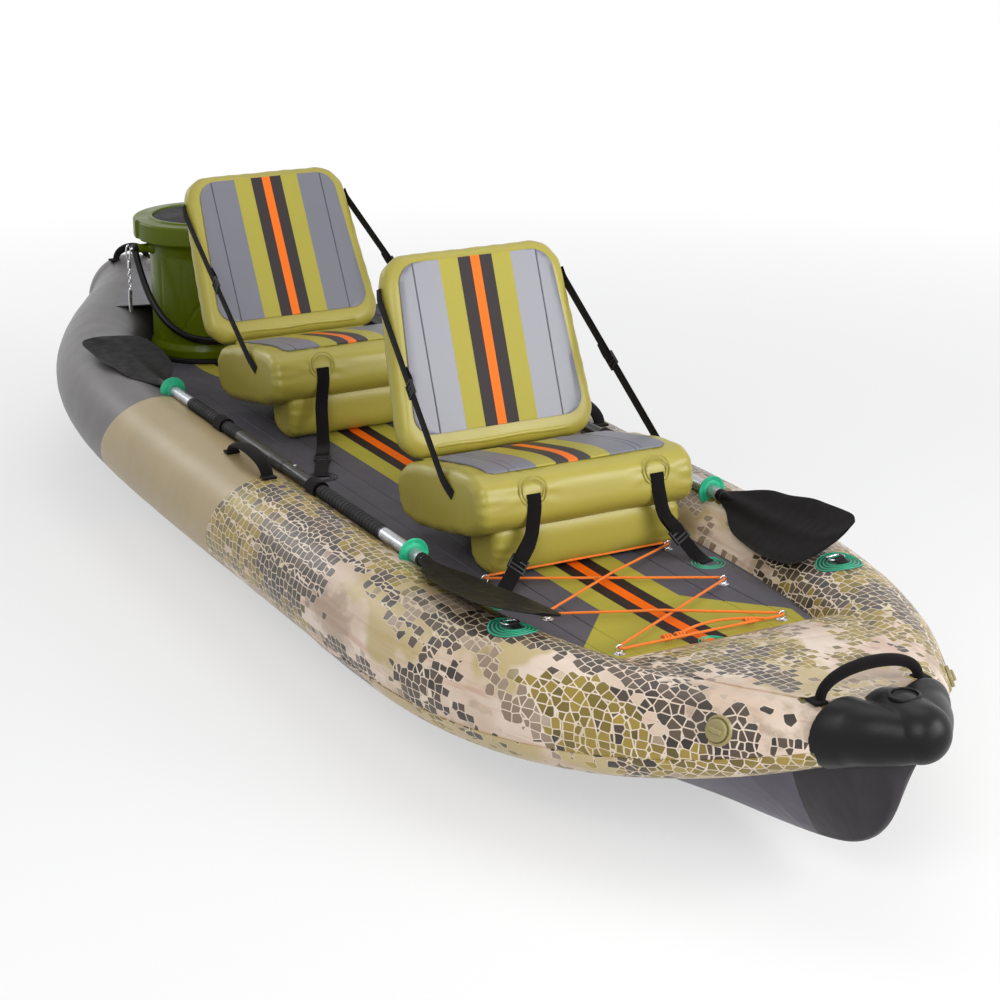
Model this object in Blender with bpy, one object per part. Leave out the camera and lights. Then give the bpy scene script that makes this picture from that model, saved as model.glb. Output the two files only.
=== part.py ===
"""Two-person inflatable fishing boat with folding seats, a bucket cooler and two paddles.

Metres, +Z up. The bow points along -Y, the stern along +Y and +X is port. The origin is on the
centre-line at half length, at the height of the flat keel strip that the boat rests on.
"""

import math

import bmesh
import bpy
from mathutils import Matrix, Vector

GAP = 0.0003
SIDES = {"starboard": -1, "port": 1}

# Hull: two side tubes, side by side at the bow and meeting end to end at the stern
LENGTH = 3.785
BEAM = 1.033
TUBE_R = 0.119
TUBE_SIDES_RINGS = 10
BOW_R = 0.049
BOW_TAPER = 2.72
BOW_GAP = 0.062
STERN_R = 0.122
TUBE_Z = 0.222
BOW_RISE = 0.0925
STERN_RISE = 0.043
NOSE_LENGTH = 0.1575
WIDEST_Y = -0.715
BOW_FULLNESS = 2.56
BOW_FLARE = 1.117
BOW_SWEEP = 3.2
STERN_FULLNESS = 6.818
STERN_FLARE = 1.743
STERN_SWEEP = 4.759
TUBE_STATIONS = 30
HALF = BEAM / 2 - TUBE_R
BOW_HALF = BOW_R + BOW_GAP / 2
BOW_AXIS_Y = -LENGTH / 2 + NOSE_LENGTH
STERN_AXIS_Y = LENGTH / 2 - STERN_R

# Floor, deck and covers
DECK_Z = 0.270
STERN_DECK_DROP = 0.026
DECK_RAMP = 0.33
PAD_THICK = 0.005
PAD_MARGIN = 0.026
KEEL_HALF = 0.12
KEEL_EDGE = 0.008
KEEL_TAPER = 0.62
FOREFOOT_LENGTH = 0.515
STEM_REACH = 0.066
STEM_RISE = 0.262
GUARD_LENGTH = 0.165
STERN_KEEL_LENGTH = 0.55
STERN_KEEL_RISE = 0.11
COVER_LENGTH = 0.473
COVER_THICK = 0.003
COVER_TUCK = 0.004
PATCH_T = 0.0018
PATCH_R = 0.046
STERN_COVER_LENGTH = 0.44
FOREFOOT_Y = BOW_AXIS_Y + FOREFOOT_LENGTH
GUARD_Y = BOW_AXIS_Y + GUARD_LENGTH
COVER_Y = BOW_AXIS_Y + COVER_LENGTH
STERN_KEEL_Y = STERN_AXIS_Y - STERN_KEEL_LENGTH
STERN_COVER_Y = STERN_AXIS_Y - STERN_COVER_LENGTH
NOSE_WALL = 0.006
NOSE_SLEEVE = 0.018
NOSE_BULB_R = 0.050
NOSE_LIFT = 0.024
NOSE_Z = TUBE_Z + BOW_RISE + NOSE_LIFT
HANDLE_R = 0.011
FITTING_R = 0.022
BOW_HANDLE_BACK = 0.018

# Seats
SEAT_HINGE_YS = {"front": -0.4717, "rear": 0.5703}
RECLINES = {"front": 20.6, "rear": 28.8}
SEAT_SHIFTS = {"front": 0.014, "rear": 0.030}
SEAT_HINGE_Z = 0.4345
SEAT_TILT = 11.0
SEAT_W = 0.485
SEAT_D = 0.375
SEAT_T = 0.136
SEAT_BACKS = {"front": 0.050, "rear": 0.024}
LOWER_W = 0.42
LOWER_D = 0.12
LOWER_SHIFT = 0.010
LOWER_INSET = 0.022
LOWER_TUCK = 0.030
BOARD_FOOT_W = 0.458
BOARD_HEAD_W = 0.408
BOARD_T = 0.055
BOARD_CORNER = 0.062
BOARD_EDGE = 0.02
BOARD_FOOT = 0.045
BOARD_HEAD = 0.021
PAD_EDGE = 0.031
PAD_H = 0.3484
SEAT_PAD_W = 0.40
FOAM = 0.004
HOLD_DOWNS = {"front": (0.233, 0.084, 0.8), "rear": (0.212, 0.245, 0.25)}
STRAP_W = 0.024
STRAP_T = 0.002

SEAT_MID = SEAT_HINGE_Z - 0.040
SEAT_FRONT_UNDER = SEAT_MID + SEAT_D / 2 * math.sin(math.radians(SEAT_TILT)) - SEAT_T / 2

# Bungee lacing on the front deck
BUNGEE_LIFT = 0.0019
BUNGEE_R = 0.0026
EYE_PLATE = 0.011
EYE_R = 0.0075
EYE_WIRE = 0.0015
ANCHORS = ((0.206, -0.771), (0.193, -0.993), (0.174, -1.2165))

# Bucket cooler
COOLER_Y = 1.19
COOLER_H = 0.330
COOLER_R = 0.140
COOLER_FOOT_R = 0.148
COOLER_WALL = 0.018
RIM_R = 0.163
LID_R = 0.180
LID_SKIRT = 0.027
LID_PLATE = 0.022
INSERT_R = 0.128
BAIL_Z = 0.281
BAIL_REACH = 0.275
BAIL_R = 0.007
BAIL_REST = 33.5
BAIL_ARM = LID_R + BAIL_R + 0.003
EYE_PLATE_R = 0.013
EYE_PLATE_T = 0.013
PIN_R = 0.0045
PIN_END = BAIL_ARM + 0.0125
CLIP_HOOK_R = 0.005
HINGE_STRIP_T = 0.005
DECK_LEVEL_Y = COOLER_Y - COOLER_FOOT_R - 0.01

# Paddles
PADDLE_INBOARD = {"starboard": 0.0554, "port": 0.0414}
PADDLE_LIFT = {"starboard": 0.003, "port": 0.0075}
PADDLE_SHIFTS = {"starboard": 0.0, "port": 0.041}
SHAFT_R = 0.0140
RING_YS = (-0.735, 0.535)
RING_R = 0.031
BLADE_L = 0.40
BLADE_W = 0.172
BLADE_T = 0.007
HOLDER_YS = (-0.29, 0.22)
BLADE_SCOOP = 0.030
BLADE_ROLLS = {"starboard_front": 14.0, "starboard_rear": -4.0, "port_front": -38.0, "port_rear": 14.0}
BLADE_LONG = {"starboard_front": 1, "starboard_rear": -1, "port_front": 1, "port_rear": -1}


def clear_scene():
    for old in list(bpy.data.objects):
        bpy.data.objects.remove(old, do_unlink=True)


def new_collection(name):
    collection = bpy.data.collections.new(name)
    bpy.context.scene.collection.children.link(collection)
    return collection


clear_scene()
BOAT = new_collection("inflatable_fishing_boat")
CUTTERS = new_collection("cutters")

COLOURS = {
    "tube_fabric": ((0.60, 0.52, 0.40), 0.45, 0.0),
    "floor_fabric": ((0.13, 0.12, 0.13), 0.55, 0.0),
    "deck_foam": ((0.11, 0.11, 0.13), 0.8, 0.0),
    "moulded_black": ((0.012, 0.012, 0.013), 0.35, 0.0),
    "olive_fabric": ((0.36, 0.38, 0.06), 0.4, 0.0),
    "seat_foam": ((0.25, 0.25, 0.30), 0.8, 0.0),
    "webbing": ((0.012, 0.012, 0.014), 0.7, 0.0),
    "bungee": ((0.80, 0.20, 0.02), 0.6, 0.0),
    "steel": ((0.55, 0.55, 0.55), 0.3, 1.0),
    "cooler_green": ((0.14, 0.20, 0.02), 0.4, 0.0),
    "rubber": ((0.015, 0.015, 0.016), 0.6, 0.0),
    "shaft_carbon": ((0.03, 0.03, 0.03), 0.3, 0.0),
    "blade_plastic": ((0.02, 0.02, 0.022), 0.4, 0.0),
    "teal_rubber": ((0.03, 0.50, 0.33), 0.5, 0.0),
    "valve_plastic": ((0.20, 0.20, 0.08), 0.4, 0.0),
}


def material(kind):
    found = bpy.data.materials.get(kind)
    if found:
        return found
    colour, rough, metal = COLOURS[kind]
    made = bpy.data.materials.new(kind)
    made.use_nodes = True
    shader = made.node_tree.nodes["Principled BSDF"]
    shader.inputs["Base Color"].default_value = (*colour, 1.0)
    shader.inputs["Roughness"].default_value = rough
    shader.inputs["Metallic"].default_value = metal
    return made


# Shared modelling helpers


def add(name, mesh, kind, cutter=False):
    """Puts a mesh in the scene as a part or as a hidden cutter."""
    obj = bpy.data.objects.new(name, mesh)
    mesh.materials.clear()
    if cutter:
        CUTTERS.objects.link(obj)
        obj.hide_render = True
        obj.display_type = "WIRE"
        return obj
    BOAT.objects.link(obj)
    mesh.materials.append(material(kind))
    mesh.shade_smooth()
    mesh.set_sharp_from_angle(angle=math.radians(35))
    return obj


def from_bmesh(name, bm, kind, cutter=False):
    bmesh.ops.recalc_face_normals(bm, faces=bm.faces)
    if bm.calc_volume(signed=True) < 0:
        bmesh.ops.reverse_faces(bm, faces=bm.faces)
    mesh = bpy.data.meshes.new(name)
    bm.to_mesh(mesh)
    bm.free()
    return add(name, mesh, kind, cutter)


def combine(obj, others, operation):
    """Boolean of an object with others, which stay as hidden cutters; the result replaces its mesh."""
    for other in others:
        modifier = obj.modifiers.new(operation.lower(), "BOOLEAN")
        modifier.operation = operation
        modifier.solver = "EXACT"
        modifier.object = other
    graph = bpy.context.evaluated_depsgraph_get()
    mesh = bpy.data.meshes.new_from_object(obj.evaluated_get(graph))
    obj.modifiers.clear()
    kinds = [m for m in obj.data.materials]
    obj.data = mesh
    bm = bmesh.new()
    bm.from_mesh(mesh)
    bmesh.ops.remove_doubles(bm, verts=bm.verts, dist=0.000002)
    bmesh.ops.dissolve_degenerate(bm, edges=bm.edges, dist=0.000001)
    bm.to_mesh(mesh)
    bm.free()
    mesh.materials.clear()
    for kind in kinds:
        mesh.materials.append(kind)
    return obj


def tube(name, points, radius, kind, rings=2, cutter=False, cyclic=False, radii=None):
    """A round tube along points, as a bevelled curve made into a mesh with welded caps."""
    curve = bpy.data.curves.new(name, "CURVE")
    curve.dimensions = "3D"
    curve.bevel_depth = radius
    curve.bevel_resolution = rings
    curve.use_fill_caps = True
    spline = curve.splines.new("POLY")
    spline.points.add(len(points) - 1)
    spline.use_cyclic_u = cyclic
    for i, point in enumerate(points):
        spline.points[i].co = (*point, 1.0)
        spline.points[i].radius = radii[i] / radius if radii else 1.0
    guide = bpy.data.objects.new(name + "_curve", curve)
    CUTTERS.objects.link(guide)
    graph = bpy.context.evaluated_depsgraph_get()
    mesh = bpy.data.meshes.new_from_object(guide.evaluated_get(graph))
    bpy.data.objects.remove(guide)
    bm = bmesh.new()
    bm.from_mesh(mesh)
    bmesh.ops.remove_doubles(bm, verts=bm.verts, dist=0.00001)
    return from_bmesh(name, bm, kind, cutter)


def loft(name, rings, kind, cutter=False, closed=False):
    """A solid through rings of equal point counts, with flat ends, or closed on itself."""
    bm = bmesh.new()
    loops = [[bm.verts.new(p) for p in ring] for ring in rings]
    pairs = list(zip(loops, loops[1:]))
    if closed:
        pairs.append((loops[-1], loops[0]))
    for a, b in pairs:
        count = len(a)
        for i in range(count):
            j = (i + 1) % count
            bm.faces.new((a[i], a[j], b[j], b[i]))
    if not closed:
        bm.faces.new(loops[0])
        bm.faces.new(loops[-1])
    return from_bmesh(name, bm, kind, cutter)


def box(name, size, place, kind, bevel=0.0, cutter=False):
    """A box with chamfered edges, placed by a matrix."""
    bm = bmesh.new()
    bmesh.ops.create_cube(bm, size=1.0)
    bmesh.ops.scale(bm, vec=size, verts=bm.verts)
    if bevel:
        bmesh.ops.bevel(bm, geom=bm.edges[:], offset=bevel, segments=1, affect="EDGES", profile=0.5)
    bmesh.ops.transform(bm, matrix=place, verts=bm.verts)
    return from_bmesh(name, bm, kind, cutter)


def cylinder(name, radius, depth, place, kind, sides=20, top_radius=None, cutter=False):
    """A cylinder or cone about its local Z, from 0 to depth, placed by a matrix."""
    bm = bmesh.new()
    top = radius if top_radius is None else top_radius
    bmesh.ops.create_cone(bm, cap_ends=True, segments=sides, radius1=radius, radius2=top, depth=depth)
    bmesh.ops.translate(bm, vec=(0, 0, depth / 2), verts=bm.verts)
    bmesh.ops.transform(bm, matrix=place, verts=bm.verts)
    return from_bmesh(name, bm, kind, cutter)


def turned(name, profile, place, kind, sides=32, cutter=False):
    """A solid turned about its local Z from a closed profile of (radius, height) pairs."""
    bm = bmesh.new()
    rings = []
    for radius, height in profile:
        if radius == 0:
            rings.append([bm.verts.new((0, 0, height))])
            continue
        ring = []
        for i in range(sides):
            turn = 2 * math.pi * i / sides
            ring.append(bm.verts.new((radius * math.cos(turn), radius * math.sin(turn), height)))
        rings.append(ring)
    pairs = list(zip(rings, rings[1:]))
    if profile[0][0] > 0:
        pairs.append((rings[-1], rings[0]))
    for a, b in pairs:
        for i in range(sides):
            j = (i + 1) % sides
            if len(a) == 1 and len(b) == 1:
                continue
            if len(a) == 1:
                bm.faces.new((a[0], b[i], b[j]))
            elif len(b) == 1:
                bm.faces.new((a[i], a[j], b[0]))
            else:
                bm.faces.new((a[i], a[j], b[j], b[i]))
    bmesh.ops.transform(bm, matrix=place, verts=bm.verts)
    return from_bmesh(name, bm, kind, cutter)


def ribbon(name, points, wide, width, thick, kind, cutter=False):
    """A flat strap of rectangular section through points; wide gives the width direction at each point."""
    rings = []
    for i, point in enumerate(points):
        before = Vector(points[max(i - 1, 0)])
        after = Vector(points[min(i + 1, len(points) - 1)])
        along = (after - before).normalized()
        across = Vector(wide[i] if isinstance(wide, list) else wide)
        across = (across - along * along.dot(across)).normalized()
        face = along.cross(across)
        a = across * width / 2
        b = face * thick / 2
        centre = Vector(point)
        rings.append([centre - a - b, centre + a - b, centre + a + b, centre - a + b])
    return loft(name, rings, kind, cutter)


def facing(origin, normal, along=(0, 1, 0)):
    """A matrix whose Z is the normal and whose Y is as near to along as it can be."""
    z = Vector(normal).normalized()
    y = (Vector(along) - z * z.dot(Vector(along))).normalized()
    x = y.cross(z)
    return Matrix.Translation(Vector(origin)) @ Matrix((x, y, z)).transposed().to_4x4()


def move_to_cutters(obj):
    BOAT.objects.unlink(obj)
    CUTTERS.objects.link(obj)
    obj.hide_render = True
    obj.display_type = "WIRE"


def pivot_at(obj, point):
    """Moves an object's origin to a point of its joint axis, leaving its shape in place."""
    obj.data.transform(Matrix.Translation(-Vector(point)))
    obj.location = point
    return obj


def spread(start, end, count):
    return [start + (end - start) * i / (count - 1) for i in range(count)]


def superellipse(a, b, power, count):
    """Points round a superellipse, as pairs, starting on the first axis."""
    points = []
    for i in range(count):
        turn = 2 * math.pi * (i + 0.5) / count
        c = math.cos(turn)
        s = math.sin(turn)
        scale = (abs(c) ** power + abs(s) ** power) ** (-1 / power)
        points.append((a * c * scale, b * s * scale))
    return points


def rounded_rectangle(width, height, corner, steps=4):
    """Points round a rectangle with rounded corners, centred on zero."""
    points = []
    for sx, sy, start in ((1, 1, 0), (-1, 1, 90), (-1, -1, 180), (1, -1, 270)):
        for i in range(steps + 1):
            turn = math.radians(start + 90 * i / steps)
            x = sx * (width / 2 - corner) + corner * math.cos(turn)
            y = sy * (height / 2 - corner) + corner * math.sin(turn)
            points.append((x, y))
    return points


# Hull lines


def station(y):
    """How far y lies from the widest station towards an end, from 0 to 1, and whether it is the bow end."""
    if y < WIDEST_Y:
        return min((WIDEST_Y - y) / (WIDEST_Y - BOW_AXIS_Y), 1.0), True
    return min((y - WIDEST_Y) / (STERN_AXIS_Y - WIDEST_Y), 1.0), False


def half_breadth(y):
    u, bow = station(y)
    if bow:
        return BOW_HALF + (HALF - BOW_HALF) * max(1 - u**BOW_FULLNESS, 0.0) ** BOW_FLARE
    return HALF * max(1 - u**STERN_FULLNESS, 0.0) ** STERN_FLARE


def rise(y):
    u, bow = station(y)
    return BOW_RISE * u**BOW_SWEEP if bow else STERN_RISE * u**STERN_SWEEP


def tube_radius(y):
    u, bow = station(y)
    if bow:
        return TUBE_R + (BOW_R - TUBE_R) * u**BOW_TAPER
    return TUBE_R + (STERN_R - TUBE_R) * u**6


def deck_z(y):
    """Height of the deck: it follows the tubes up towards the bow and dips a little to the cooler's place."""
    if y < WIDEST_Y:
        return DECK_Z + rise(y)
    t = min(max((y - DECK_LEVEL_Y + DECK_RAMP) / DECK_RAMP, 0.0), 1.0)
    return DECK_Z - STERN_DECK_DROP * t * t * (3 - 2 * t)


def pad_top(y):
    """Height of the foam deck's upper face, which is straight between its stations."""
    for a, b in zip(DECK_YS, DECK_YS[1:]):
        if a <= y <= b:
            return deck_z(a) + (deck_z(b) - deck_z(a)) * (y - a) / (b - a)
    return deck_z(y)


def deck_half(y):
    """Half-width between the tubes at deck height."""
    return half_breadth(y) - math.sqrt(tube_radius(y) ** 2 - (deck_z(y) - TUBE_Z - rise(y)) ** 2)


def tube_axis(side, y):
    return Vector((side * half_breadth(y), y, TUBE_Z + rise(y)))


def on_tube(side, y, angle, lift=0.0):
    """A point on a side tube and its normal; the angle is 0 outboard, 90 on top and 180 inboard."""
    step = 0.002
    along = (tube_axis(side, y + step) - tube_axis(side, y - step)).normalized()
    out = Vector((side, 0, 0))
    out = (out - along * along.dot(out)).normalized()
    up = along.cross(out)
    if up.z < 0:
        up = -up
    normal = out * math.cos(math.radians(angle)) + up * math.sin(math.radians(angle))
    return tube_axis(side, y) + normal * (tube_radius(y) + lift), normal


def tube_line(side, grow):
    """Centre-line points and radii of a side tube, with domed ends."""
    points = []
    radii = []
    tip = tube_axis(side, BOW_AXIS_Y)
    along = (tip - tube_axis(side, BOW_AXIS_Y + 0.024)).normalized()
    for t in (80, 60, 40, 20):
        points.append(tip + along * (BOW_R + grow) * math.sin(math.radians(t)))
        radii.append((BOW_R + grow) * math.cos(math.radians(t)))
    for i in range(TUBE_STATIONS):
        if i in (1, TUBE_STATIONS - 2):
            continue
        turn = math.pi * i / (TUBE_STATIONS - 1)
        end = BOW_AXIS_Y if turn < math.pi / 2 else STERN_AXIS_Y
        y = WIDEST_Y + (end - WIDEST_Y) * abs(math.cos(turn))
        points.append(tube_axis(side, y))
        radii.append(tube_radius(y) + grow)
    for t in (20, 40, 60, 80):
        points.append(Vector((0, STERN_AXIS_Y + (STERN_R + grow) * math.sin(math.radians(t)), TUBE_Z + STERN_RISE)))
        radii.append((STERN_R + grow) * math.cos(math.radians(t)))
    return points, radii


def side_tube(name, side, grow=0.0, cutter=False):
    """A side tube, cut off at the centre plane where the two tubes meet at the stern."""
    points, radii = tube_line(side, grow)
    obj = tube(name, points, TUBE_R, "tube_fabric", rings=TUBE_SIDES_RINGS, cutter=cutter, radii=radii)
    bm = bmesh.new()
    bm.from_mesh(obj.data)
    cut = bmesh.ops.bisect_plane(
        bm,
        geom=bm.verts[:] + bm.edges[:] + bm.faces[:],
        dist=0.00001,
        plane_co=(side * (GAP / 2 - grow), 0, 0),
        plane_no=(-side, 0, 0),
        clear_outer=True,
    )
    rim = [e for e in cut["geom_cut"] if isinstance(e, bmesh.types.BMEdge)]
    bmesh.ops.holes_fill(bm, edges=rim, sides=0)
    bmesh.ops.recalc_face_normals(bm, faces=bm.faces)
    bm.to_mesh(obj.data)
    bm.free()
    return obj


for side_name, side_sign in SIDES.items():
    side_tube(side_name + "_tube", side_sign)
TUBE_CUTS = [side_tube(n + "_tube_cut", s, GAP, cutter=True) for n, s in SIDES.items()]
LOOSE_CUTS = [side_tube(n + "_tube_loose", s, 3 * GAP, cutter=True) for n, s in SIDES.items()]
TUBE_SKINS = {n: side_tube(n + "_tube_skin", s, PATCH_T + GAP, cutter=True) for n, s in SIDES.items()}
DECK_YS = spread(COVER_Y + 0.004, WIDEST_Y, 7) + spread(WIDEST_Y + 0.13, DECK_LEVEL_Y, 12) + [STERN_COVER_Y + 0.07]


def keel_z(y):
    """Height of the keel: flat amidships, swept up to the stem and to the stern."""
    if y < FOREFOOT_Y:
        t = min((FOREFOOT_Y - y) / (FOREFOOT_Y - BOW_AXIS_Y + STEM_REACH), 1.0)
        return STEM_RISE * (0.36 * t**1.3 + 0.64 * (1 - math.sqrt(1 - t**10)))
    if y > STERN_KEEL_Y:
        t = (y - STERN_KEEL_Y) / (STERN_AXIS_Y - STERN_KEEL_Y)
        return STERN_KEEL_RISE * t**2
    return 0.0


def keel_half(y):
    """Half-width of the flat strip under the keel, which narrows to an edge at the bow."""
    if y < FOREFOOT_Y:
        return KEEL_EDGE
    if y < FOREFOOT_Y + KEEL_TAPER:
        t = (FOREFOOT_Y + KEEL_TAPER - y) / KEEL_TAPER
        return KEEL_HALF + (KEEL_EDGE - KEEL_HALF) * t**1.5
    if y > STERN_KEEL_Y:
        t = (y - STERN_KEEL_Y) / (STERN_AXIS_Y - STERN_KEEL_Y)
        return KEEL_HALF + (0.03 - KEEL_HALF) * t
    return KEEL_HALF


def floor_ring(y):
    """Section of the floor: keel strip, bottom sloping up to the tubes, and a flat top."""
    axis = TUBE_Z + rise(y)
    radius = tube_radius(y)
    keel = keel_z(y)
    half = keel_half(y)
    fade = min(max((COVER_Y - y) / 0.2, 0.0), 1.0)
    top = deck_z(y) - PAD_THICK - GAP
    top += fade * (axis - 0.3 * radius - top)
    reach = half_breadth(y) - 0.35 * radius
    if y < BOW_AXIS_Y:
        reach -= (BOW_AXIS_Y - y) * 0.35
    reach = max(reach, half + 0.002)
    under = axis - 0.88 * radius
    top = max(top, keel + 0.01)
    under = min(max(under, keel + 0.005), top - 0.004)
    return [
        Vector((-half, y, keel)),
        Vector((half, y, keel)),
        Vector((reach, y, under)),
        Vector((reach, y, top)),
        Vector((-reach, y, top)),
        Vector((-reach, y, under)),
    ]


def drawn(name, sections, kind, cutter=False, count=16):
    """A solid through upright ellipses; each section is its place along Y, its centre and its two radii."""
    loops = []
    for y, x, z, wide, high in sections:
        turns = [2 * math.pi * (i + 0.5) / count for i in range(count)]
        loops.append([Vector((x + wide * math.cos(t), y, z + high * math.sin(t))) for t in turns])
    return loft(name, loops, kind, cutter)


def nose_shapes(grow):
    """Hidden sleeves over both tube ends, drawn together, and the round bumper that they run into."""
    shapes = []
    tag = "grown" if grow else "solid"
    tip = -LENGTH / 2
    reach = BOW_AXIS_Y - tip
    for side in (-1, 1):
        end = tube_axis(side, BOW_AXIS_Y)
        sections = []
        for t, inward, wide in ((0.72, 0.35, 0.72), (0.5, 0.53, 0.84), (0.26, 0.72, 0.94)):
            size = (BOW_R + NOSE_WALL) * wide + grow
            height = end.z + (NOSE_Z - end.z) * t
            sections.append((BOW_AXIS_Y - reach * t - grow, end.x * inward, height, size, size))
        for y in spread(BOW_AXIS_Y, BOW_AXIS_Y + NOSE_SLEEVE + grow + (side + 1) * 0.0002, 3):
            slope = (half_breadth(y + 0.004) - half_breadth(y)) / 0.004
            size = tube_radius(y) + NOSE_WALL + grow
            centre = tube_axis(side, y)
            sections.append((y, centre.x, centre.z, size * math.hypot(1, slope), size))
        shapes.append(drawn(f"nose_{tag}_{side}", sections, "moulded_black", cutter=True))
    sections = []
    for t in (78, 55, 30, 0):
        size = NOSE_BULB_R * math.cos(math.radians(t)) + grow
        sections.append((tip + NOSE_BULB_R * (1 - math.sin(math.radians(t))) - grow, 0, NOSE_Z, size, size))
    size = NOSE_BULB_R * 1.02 + grow
    sections.append((BOW_AXIS_Y - 0.062, 0, NOSE_Z, size, size))
    size = NOSE_BULB_R * 1.1 + grow
    sections.append((BOW_AXIS_Y - 0.003, 0, NOSE_Z - NOSE_LIFT * 0.6, size, size))
    shapes.append(drawn(f"nose_{tag}_bulb", sections, "moulded_black", cutter=True, count=20))
    return shapes


NOSE_CUTS = nose_shapes(GAP)


def floor():
    """The floor chamber and, split off at the stem, the black guard that protects the forefoot."""
    front = BOW_AXIS_Y - STEM_REACH + 0.001
    ys = [front + (GUARD_Y - GAP - front) * (i / 8) ** 1.8 for i in range(9)]
    guard = loft("forefoot_guard", [floor_ring(y) for y in ys], "moulded_black")
    combine(guard, NOSE_CUTS[::-1] + TUBE_CUTS, "DIFFERENCE")
    ys = spread(GUARD_Y, COVER_Y - 0.03, 6) + DECK_YS + spread(DECK_YS[-1] + 0.1, STERN_AXIS_Y - 0.03, 4)
    board = loft("floor_board", [floor_ring(y) for y in ys], "floor_fabric")
    combine(board, TUBE_CUTS, "DIFFERENCE")


floor()


def deck_pad():
    """The foam deck that lies on the floor between the tubes."""
    rings = []
    for y in DECK_YS:
        half = deck_half(y) - PAD_MARGIN
        top = deck_z(y)
        low = top - PAD_THICK
        corners = ((-half, low), (half, low), (half, top), (-half, top))
        rings.append([Vector((x, y, z)) for x, z in corners])
    loft("deck_pad", rings, "deck_foam")


deck_pad()


def cover_ring(y, angle, sag):
    """One station of a cover stretched between the tubes, from an angle up their inner sides."""
    reach = tube_radius(y) + GAP + COVER_THICK / 2 + 0.0006
    half = half_breadth(y) - reach * math.cos(math.radians(angle)) + COVER_TUCK
    edge_z = TUBE_Z + rise(y) + reach * math.sin(math.radians(angle))
    top = []
    low = []
    for c in (-1, -0.6, -0.2, 0.2, 0.6, 1):
        z = edge_z - sag * (1 - c * c)
        top.append(Vector((c * half, y, z + COVER_THICK / 2)))
        low.append(Vector((c * half, y, z - COVER_THICK / 2)))
    return top + low[::-1]


def covers():
    """The bow cover rises from the deck to the nose; the stern cover spans the tubes over the stern."""
    rings = []
    for i in range(9):
        t = i / 8
        y = COVER_Y + (BOW_AXIS_Y + NOSE_SLEEVE + 0.022 - COVER_Y) * t
        rings.append(cover_ring(y, 27 + 58 * t**0.6, 0.0))
    cover = loft("bow_cover", rings, "tube_fabric")
    combine(cover, TUBE_CUTS + NOSE_CUTS, "DIFFERENCE")
    rings = []
    for i in range(7):
        t = i / 6
        y = STERN_COVER_Y + (STERN_AXIS_Y - 0.09 - STERN_COVER_Y) * t
        rings.append(cover_ring(y, 72 + 6 * t, 0.008))
    cover = loft("stern_cover", rings, "floor_fabric")
    combine(cover, TUBE_CUTS, "DIFFERENCE")


covers()


def nose():
    """The moulded nose cap, with the round fitting in its top."""
    sleeves = nose_shapes(0.0)
    cone = sleeves[-1].copy()
    cone.data = sleeves[-1].data.copy()
    cone = add("nose_cone", cone.data, "moulded_black")
    combine(cone, sleeves[:2], "UNION")
    seat = Matrix.Translation((0, -LENGTH / 2 + 0.095, NOSE_Z + NOSE_BULB_R * 0.87))
    socket = cylinder("nose_socket", FITTING_R + GAP, 0.03, seat, "moulded_black", cutter=True)
    combine(cone, LOOSE_CUTS + [socket], "DIFFERENCE")
    profile = [(0, GAP), (FITTING_R, GAP), (FITTING_R, 0.007), (FITTING_R * 0.72, 0.007), (FITTING_R * 0.66, 0.003)]
    profile += [(FITTING_R * 0.4, 0.003), (FITTING_R * 0.34, 0.006), (0, 0.006)]
    turned("nose_fitting", profile, seat, "moulded_black", sides=20)


nose()


def arch(name, feet, height, radius, kind, steps=8):
    """A padded carrying handle: an arch between two feet on the tubes, cut to sit on them."""
    a, b = (Vector(f) for f in feet)
    points = []
    for i in range(steps + 1):
        t = math.pi * i / steps
        place = (a + b) / 2 + (a - b) / 2 * math.cos(t)
        place.z += height * math.sin(t) ** 0.8
        points.append(place)
    handle = tube(name, points, radius, kind, rings=2)
    return combine(handle, TUBE_CUTS, "DIFFERENCE")


def handles():
    """Carrying handles at the bow, the stern and on both sides."""
    y = BOW_AXIS_Y + BOW_HANDLE_BACK
    bow = arch("bow_handle", (on_tube(-1, y, 80)[0], on_tube(1, y, 80)[0]), 0.05, HANDLE_R, "webbing")
    combine(bow, NOSE_CUTS, "DIFFERENCE")
    y = STERN_AXIS_Y - 0.006
    z = TUBE_Z + STERN_RISE + STERN_R - 0.012
    arch("stern_handle", ((-0.045, y, z), (0.045, y, z)), 0.036, HANDLE_R, "webbing")
    for name, side in SIDES.items():
        front = on_tube(side, -0.17, 88)[0]
        back = on_tube(side, 0.02, 88)[0]
        arch(name + "_handle", (front, back), 0.034, HANDLE_R * 0.9, "webbing")


handles()


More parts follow.
